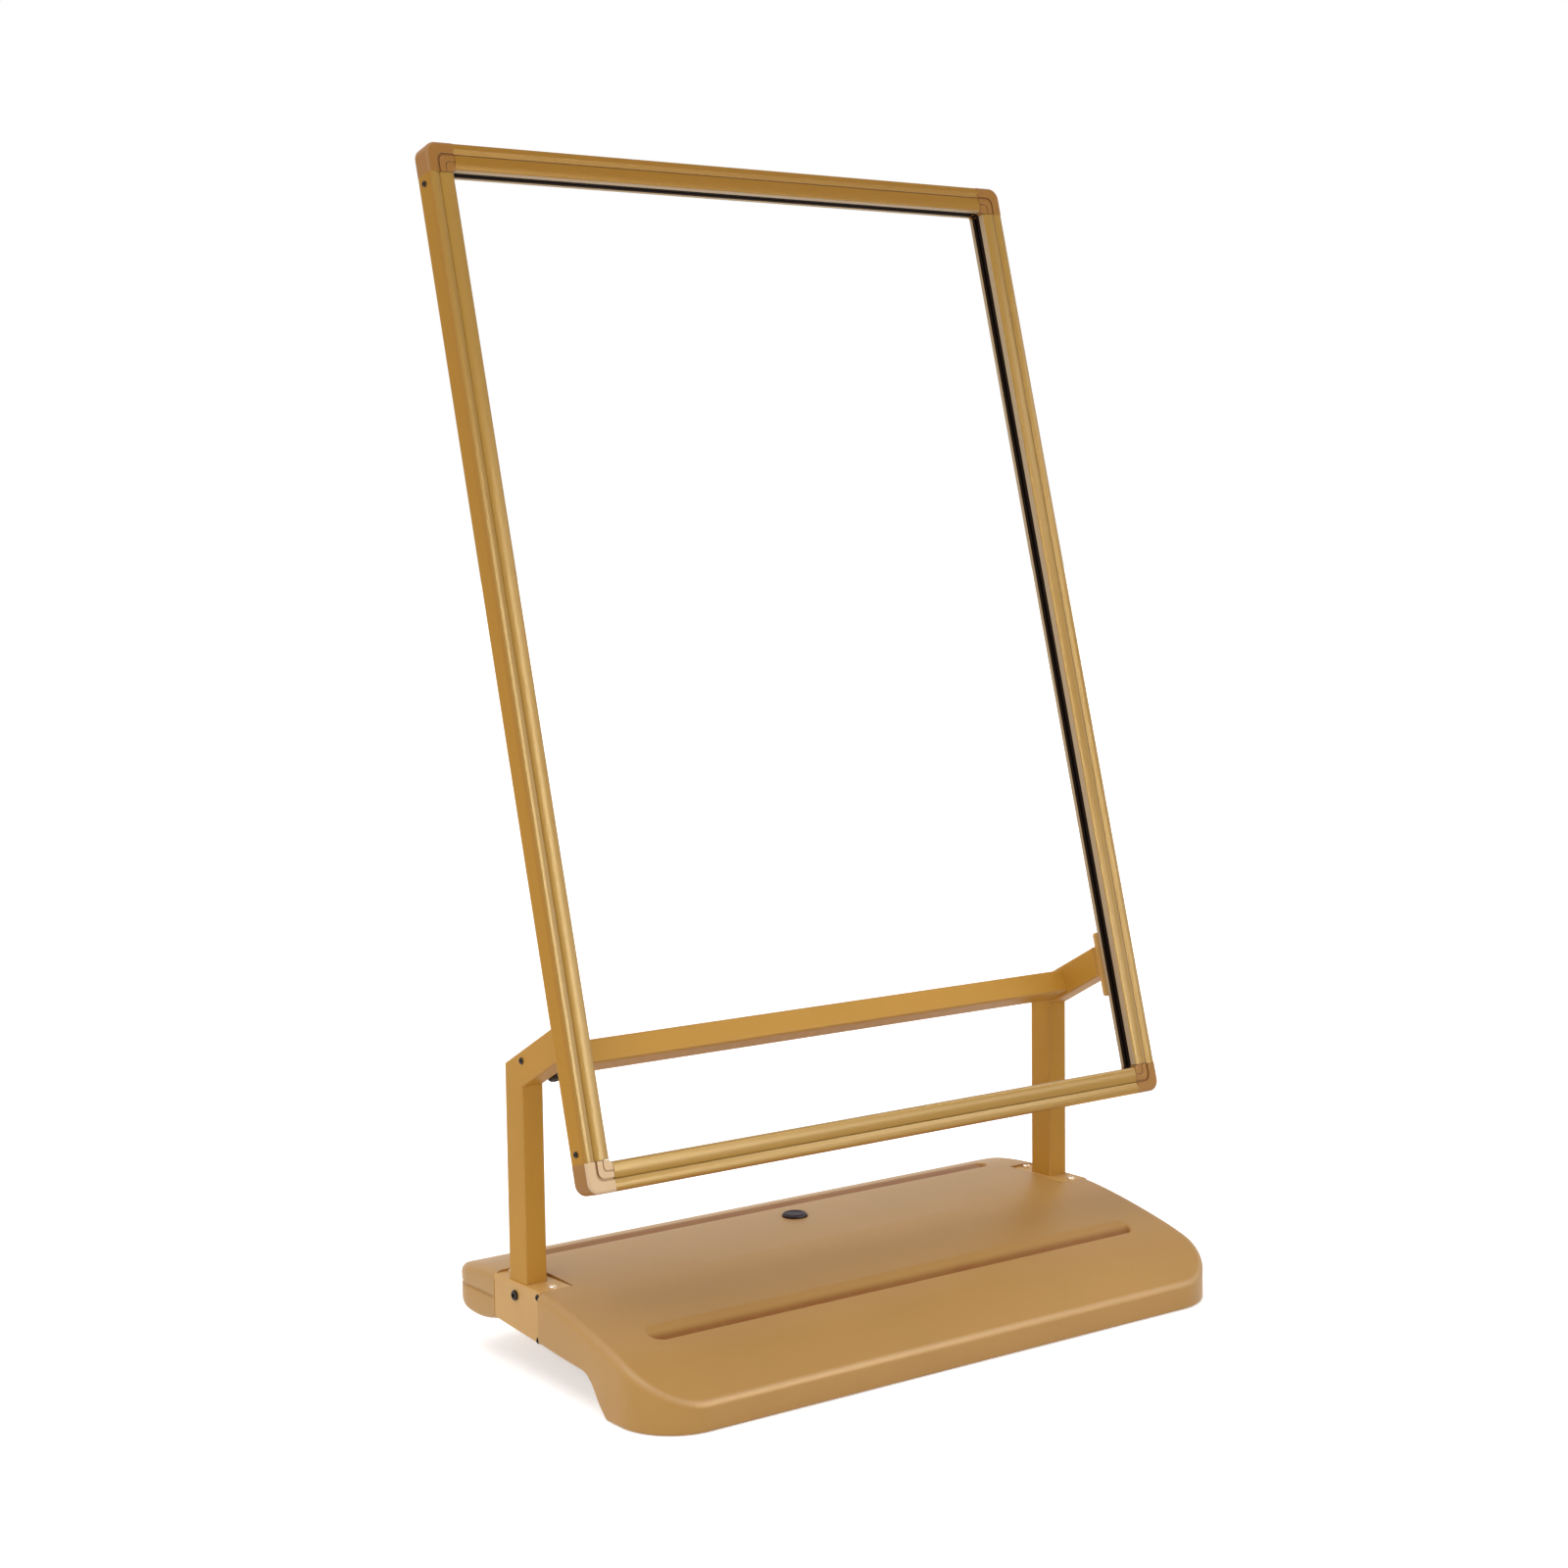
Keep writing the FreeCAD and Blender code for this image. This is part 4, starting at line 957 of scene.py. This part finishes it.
def base_moulding(sizes):
    """Patches of the base: its top, wall, underside, filler well and rear foot."""
    rows, inside = base_rows()
    inside = inside[:, None]
    reach = np.where(inside, POST_OUTER, plan_reach(rows[:, None]))
    shelf = SHELF_X - np.maximum(FULL_REACH - reach, 0)
    x_half = half_columns(shelf, reach)
    y_half = np.broadcast_to(rows[:, None], x_half.shape)
    z_half, edge_half, hollow_half = base_top(x_half, y_half, sizes)
    on_shelf = inside & (np.arange(x_half.shape[1]) >= len(FIXED_COLUMNS))
    z_half, edge_half = np.where(on_shelf, SHELF_Z, z_half), np.where(on_shelf, 0, edge_half)
    top = np.stack((both_sides(x_half, -1), both_sides(y_half), both_sides(z_half)), 2)
    plan = top[..., :2]
    low_row, high_row = (int(np.argmin(np.abs(rows - FILLER_Y - step)))
                         for step in (-FILLER_SQUARE, FILLER_SQUARE))
    low_column = top.shape[1] // 2 - SQUARE_STEPS
    high_column = low_column + 2 * SQUARE_STEPS
    kept = np.ones((top.shape[0] - 1, top.shape[1] - 1), bool)
    kept[low_row:high_row, low_column:high_column] = False
    square = border(plan[low_row:high_row + 1, low_column:high_column + 1])
    recessed = border(np.broadcast_to(inside, top.shape[:2]))
    wall = base_wall(border(top), recessed, sizes)
    return [skin(MM * top, both_sides(edge_half), False, both_sides(hollow_half), kept),
            skin(closed_rows(MM * wall)),
            skin(MM * base_underside(plan, wall[-1], sizes)),
            skin(closed_rows(MM * filler_well(square, sizes))),
            skin(closed_rows(MM * rear_foot()), capped=True)]


def turned(profile, centre, count=64):
    """Surface of a profile (radius, height) turned about an upright axis through a centre."""
    angle = np.linspace(0, 2 * np.pi, count, endpoint=False)
    radius, height = np.asarray(profile, float).T[..., None]
    rows = np.stack((centre[0] + radius * np.cos(angle), centre[1] + radius * np.sin(angle),
                     np.broadcast_to(centre[2] + height, (len(radius), count))), 2)
    return closed_rows(MM * rows)


class SIGN_OT_base(Operator):
    """Moulded base with its channels, filler well, bracket recesses and feet"""
    bl_idname = "sign_stand.base"
    bl_label = "Base"

    def execute(self, context):
        add_piece("base_moulding", base_moulding(settings().sizes), base_finish(), "stand",
                  "base_tank", sharp=50.0, even=False)
        return {"FINISHED"}


class SIGN_OT_stopper(Operator):
    """Filler stopper with a low rounded head"""
    bl_idname = "sign_stand.stopper"
    bl_label = "Filler stopper"

    def execute(self, context):
        crown = circle_points(STOPPER_CROWN, STOPPER_CROWN_RADIUS, 0, 90, 9)[:, :2]
        profile = np.concatenate((STOPPER_STEM, crown, STOPPER_DISH))
        edge = np.zeros((len(profile), 1))
        edge[len(STOPPER_STEM):-len(STOPPER_DISH), 0] = np.sin(np.linspace(0, np.pi, len(crown)))
        patch = skin(turned(profile, (0.0, FILLER_Y, FILLER_SEAT_Z)), edge)
        add_piece("filler_stopper", [patch], stopper_finish(), "filler", "fill_plug")
        return {"FINISHED"}


class SIGN_OT_frame_bars(Operator):
    """Fixed profiles of the poster frame"""
    bl_idname = "sign_stand.frame_bars"
    bl_label = "Frame bars"

    def execute(self, context):
        outline, edge = bar_outline(settings().sizes)
        groove = in_groove(outline, *BAR_GROOVE)
        for name, kind, origin, across, along, ends in frame_sides():
            # Grooves darkened with painted shade, weaker on the bottom bar
            groove_shade = groove * (BOTTOM_BAR_GROOVE_SHADE if name == "bottom" else BAR_GROOVE_SHADE)
            stations = np.linspace(*ends, BAR_STATIONS)
            patch = carried(outline, edge, origin, across, along, stations, groove_shade)
            node = name + "_" + kind
            piece = add_piece(node + "_bar", [patch], profile_finish(name == "top"), "stand",
                              node)
            # Outer sides take the darker gold of painted shade, inner sides the paler lip of painted
            # light
            finish_face(piece, shaded_side_finish(), -across)
            finish_face(piece, lit_lip_finish(), across)
        return {"FINISHED"}


class SIGN_OT_flaps(Operator):
    """Snap-open flaps of the poster frame"""
    bl_idname = "sign_stand.flaps"
    bl_label = "Flaps"

    def execute(self, context):
        outline, edge = flap_outline(settings().sizes)
        for name, _, origin, across, along, (start, end) in frame_sides():
            stations = np.linspace(start + FLAP_GAP, end - FLAP_GAP, BAR_STATIONS)
            patch = carried(outline, edge, origin, across, along, stations)
            piece = add_piece(name + "_flap_bar", [patch], profile_finish(name == "top"), name + "_leaf",
                              name + "_flap")
            # Inner side of the flap takes the paler lip of painted light
            finish_face(piece, lit_lip_finish(), across)
        return {"FINISHED"}


class SIGN_OT_linings(Operator):
    """Black lining of the poster slot"""
    bl_idname = "sign_stand.linings"
    bl_label = "Slot lining"

    def execute(self, context):
        outline, edge = lining_outline()
        for name, _, origin, across, along, ends in frame_sides():
            stations = np.linspace(*ends, LINING_STATIONS)
            patch = carried(outline, edge, origin, across, along, stations)
            add_piece(name + "_lining_strip", [patch], lining_finish(), "stand",
                      name + "_gasket")
        return {"FINISHED"}


class SIGN_OT_corner_pieces(Operator):
    """Moulded corner pieces with bent grooves"""
    bl_idname = "sign_stand.corner_pieces"
    bl_label = "Corner pieces"

    def execute(self, context):
        outline, edge = corner_outline()
        groove = in_groove(outline, *CORNER_GROOVE)
        radius = settings().sizes.corner_round / MM
        for level, height, rise in (("bottom", 0.0, UP), ("top", FRAME_HEIGHT, -UP)):
            for hand, sign in HANDS:
                faded = (level, hand) == ("bottom", "left")
                # Grooves darkened with painted shade, stronger on the faded corner
                groove_shade = groove * (FADED_CORNER_GROOVE_SHADE if faded else CORNER_GROOVE_SHADE)
                origin = FOOT + MM * (sign * HALF_WIDTH * SIDE + height * UP)
                rows = bent_rows(outline, radius, origin, -sign * SIDE, rise)
                place = level + "_" + hand
                patch = closed_skin(rows, edge, groove_shade)
                piece = add_piece(place + "_corner", [patch], corner_finish(False), "stand",
                                  "corner_" + place)
                if faded:
                    finish_face(piece, corner_finish(True), -BACK)
                inward = (rise - sign * SIDE) / np.sqrt(2)
                finish_face(piece, lining_finish(), inward, (SLOT_FRONT, SLOT_BACK))
        return {"FINISHED"}


class SIGN_OT_tubes(Operator):
    """Posts, arms and crossbar"""
    bl_idname = "sign_stand.tubes"
    bl_label = "Tubes"

    def execute(self, context):
        upright, forward = np.array((0.0, 0.0, 1.0)), np.array((0.0, -1.0, 0.0))
        along = np.array((0.0, -cos(ARM_RISE), sin(ARM_RISE)))
        below = np.array((0.0, -sin(ARM_RISE), -cos(ARM_RISE)))
        elbow = MM * np.array((0.0, POST_REAR, ELBOW_Z))
        # The mitre halves the angle between the post and the arm
        mitre = elbow, np.cross(SIDE, (0.0, 1.0, tan((radians(90) - ARM_RISE) / 2)))
        ground = MM * POST_FOOT_Z * upright, upright
        plate = FOOT + (PROFILE_DEPTH + PLATE_THICKNESS) * MM * BACK, BACK
        for hand, sign in HANDS:
            origin = sign * POST_INNER * MM * SIDE + elbow
            for kind, depthwise, lengthwise, planes in (("_post", forward, upright, (ground, mitre)),
                                                        ("_arm", below, along, (mitre, plate))):
                patch = tube_patch(origin, sign * SIDE, depthwise, TUBE_WIDTH, TUBE_DEPTH, lengthwise,
                                   planes)
                node = hand + kind
                add_piece(node + "_tube", [patch], tube_finish(), "stand", node)
        start = elbow + MM * (BAR_START * along + BAR_DROP * below)
        planes = [(sign * POST_INNER * MM * SIDE, SIDE) for _, sign in HANDS]
        patch = tube_patch(start, along, below, TUBE_DEPTH, TUBE_WIDTH, SIDE, planes)
        add_piece("crossbar_tube", [patch], tube_finish(), "stand", "crossbar")
        return {"FINISHED"}


class SIGN_OT_sheet_parts(Operator):
    """Finish of the end brackets and mount plates"""
    bl_idname = "sign_stand.sheet_parts"
    bl_label = "Brackets and plates"

    def execute(self, context):
        for hand, _ in HANDS:
            dress((hand + "_end_bracket", hand + "_mount_plate"), sheet_finish())
        return {"FINISHED"}


class SIGN_OT_fasteners(Operator):
    """Finish of the screws, bolts, nuts and end plugs"""
    bl_idname = "sign_stand.fasteners"
    bl_label = "Fasteners"

    def execute(self, context):
        dress(("bracket_screws", "post_nuts", "mount_screws"), steel_finish())
        dress(("yoke_bolt", "bracket_side_screws", "corner_screws", "post_bolts", "crossbar_screws"),
              black_steel_finish())
        dress(("crossbar_plugs",), stopper_finish())
        return {"FINISHED"}


# Stage
def camera_axes():
    """Camera turned right by its yaw, tipped down by its pitch and rolled."""
    ahead = Vector((sin(CAMERA_YAW), cos(CAMERA_YAW), 0.0))
    right = Vector((cos(CAMERA_YAW), -sin(CAMERA_YAW), 0.0))
    up = Vector((0.0, 0.0, 1.0))
    view = cos(CAMERA_PITCH) * ahead - sin(CAMERA_PITCH) * up
    top = sin(CAMERA_PITCH) * ahead + cos(CAMERA_PITCH) * up
    across = cos(CAMERA_ROLL) * right + sin(CAMERA_ROLL) * top
    top = cos(CAMERA_ROLL) * top - sin(CAMERA_ROLL) * right
    return Matrix((across, top, -view)).transposed().to_4x4()


class SIGN_OT_stage(Operator):
    """Floor, surroundings, lamps and camera"""
    bl_idname = "sign_stand.stage"
    bl_label = "Stage"

    def execute(self, context):
        scene, stage = context.scene, settings().stage
        self.add_floor(scene, stage)
        self.light_surroundings(scene, stage)
        self.add_lamps(scene, stage)
        camera = bpy.data.objects.new("camera", bpy.data.cameras.new("camera"))
        camera.data.sensor_width = CAMERA_SENSOR
        camera.data.lens = CAMERA_LENS
        camera.matrix_world = Matrix.Translation(CAMERA_PLACE) @ camera_axes()
        scene.collection.objects.link(camera)
        scene.camera = camera
        scene.view_settings.view_transform = "Standard"
        return {"FINISHED"}

    def add_floor(self, scene, stage):
        """Pale floor that takes the shadow and is seen white elsewhere."""
        mesh = bpy.data.meshes.new("floor")
        corners = [(-FLOOR_REACH, -FLOOR_REACH, 0.0), (FLOOR_REACH, -FLOOR_REACH, 0.0),
                   (FLOOR_REACH, FLOOR_REACH, 0.0), (-FLOOR_REACH, FLOOR_REACH, 0.0)]
        mesh.from_pydata(corners, [], [(0, 1, 2, 3)])
        floor = bpy.data.objects.new("floor", mesh)
        scene.collection.objects.link(floor)
        material = finish("pale_floor", "floor", paint_skin(), {"Ripples": 60.0, "Drift": 1.5},
                          (0.985, 1.0), 0.0, (0.75, 0.9), (0.02, 0.2), Specular_IOR_Level=0.0)
        tree = material.node_tree
        shader = tree.nodes["Principled BSDF"]
        shader.inputs["Emission Color"].default_value = WHITE
        glow = maths(tree, "MULTIPLY", seen_directly(tree), stage.floor_glow)
        tree.links.new(glow, shader.inputs["Emission Strength"])
        mesh.materials.append(material)

    def light_surroundings(self, scene, stage):
        """Surroundings that are white near the floor and darker overhead, by the height of the view."""
        world = bpy.data.worlds.new("studio")
        scene.world = world
        world.use_nodes = True
        tree = world.node_tree
        direction = tree.nodes.new("ShaderNodeTexCoord").outputs["Generated"]
        height = add_node(tree, "ShaderNodeSeparateXYZ", {0: direction}).outputs[2]
        fade = add_node(tree, "ShaderNodeMapRange", {
            0: height, 1: BRIGHT_BELOW, 2: DARK_ABOVE, 3: stage.horizon, 4: stage.zenith},
            interpolation_type="SMOOTHSTEP")
        share = spread(tree, seen_directly(tree), stage.spill, 1.0)
        sky = tree.nodes["Background"].inputs
        tree.links.new(maths(tree, "MULTIPLY", fade.outputs[0], share), sky["Strength"])
        sky["Color"].default_value = WHITE

    def add_lamps(self, scene, stage):
        """Wide lamp overhead, and soft panels that each look at the part of the stand they are for."""
        sun = bpy.data.lights.new("overhead", "SUN")
        sun.energy = stage.sun
        sun.angle = SUN_SPAN
        lamp = bpy.data.objects.new("overhead", sun)
        lamp.rotation_euler = Vector(SUN_FROM).to_track_quat("Z", "Y").to_euler()
        scene.collection.objects.link(lamp)
        for name, (size, place, aim, beam, lights_matt) in PANELS.items():
            panel = bpy.data.lights.new(name + "_panel", "AREA")
            panel.shape = "RECTANGLE"
            panel.size, panel.size_y = size
            panel.energy = getattr(stage, name)
            panel.spread = radians(beam)
            soft = bpy.data.objects.new(name + "_panel", panel)
            soft.location = place
            soft.rotation_euler = (Vector(aim) - Vector(place)).to_track_quat("-Z", "Y").to_euler()
            soft.visible_diffuse = lights_matt
            soft.visible_glossy = not lights_matt
            soft.visible_camera = False
            scene.collection.objects.link(soft)


class SIGN_PT_panel(Panel):
    """Sidebar panel with the operators and all settings"""
    bl_label = "Sign stand"
    bl_idname = "SIGN_PT_panel"
    bl_space_type = "VIEW_3D"
    bl_region_type = "UI"
    bl_category = "Sign stand"

    def draw(self, context):
        for operator in OPERATORS:
            self.layout.operator(operator.bl_idname)
        for group in (settings().sizes, settings().colours, settings().stage):
            for name in group.__annotations__:
                self.layout.prop(group, name)


OPERATORS = (SIGN_OT_base, SIGN_OT_stopper, SIGN_OT_frame_bars, SIGN_OT_flaps, SIGN_OT_linings,
             SIGN_OT_corner_pieces, SIGN_OT_tubes, SIGN_OT_sheet_parts, SIGN_OT_fasteners, SIGN_OT_stage)
CLASSES = (SignStandSizes, SignStandColours, SignStandStage, SignStandSettings) + OPERATORS \
    + (SIGN_PT_panel,)


def register():
    for item in CLASSES:
        bpy.utils.register_class(item)
    bpy.types.Scene.sign_stand = PointerProperty(type=SignStandSettings)


def unregister():
    del bpy.types.Scene.sign_stand
    for item in reversed(CLASSES):
        bpy.utils.unregister_class(item)


def main():
    register()
    bpy.ops.sign_stand.base()
    bpy.ops.sign_stand.stopper()
    bpy.ops.sign_stand.frame_bars()
    bpy.ops.sign_stand.flaps()
    bpy.ops.sign_stand.linings()
    bpy.ops.sign_stand.corner_pieces()
    bpy.ops.sign_stand.tubes()
    bpy.ops.sign_stand.sheet_parts()
    bpy.ops.sign_stand.fasteners()
    bpy.ops.sign_stand.stage()


if __name__ == "__main__":
    main()
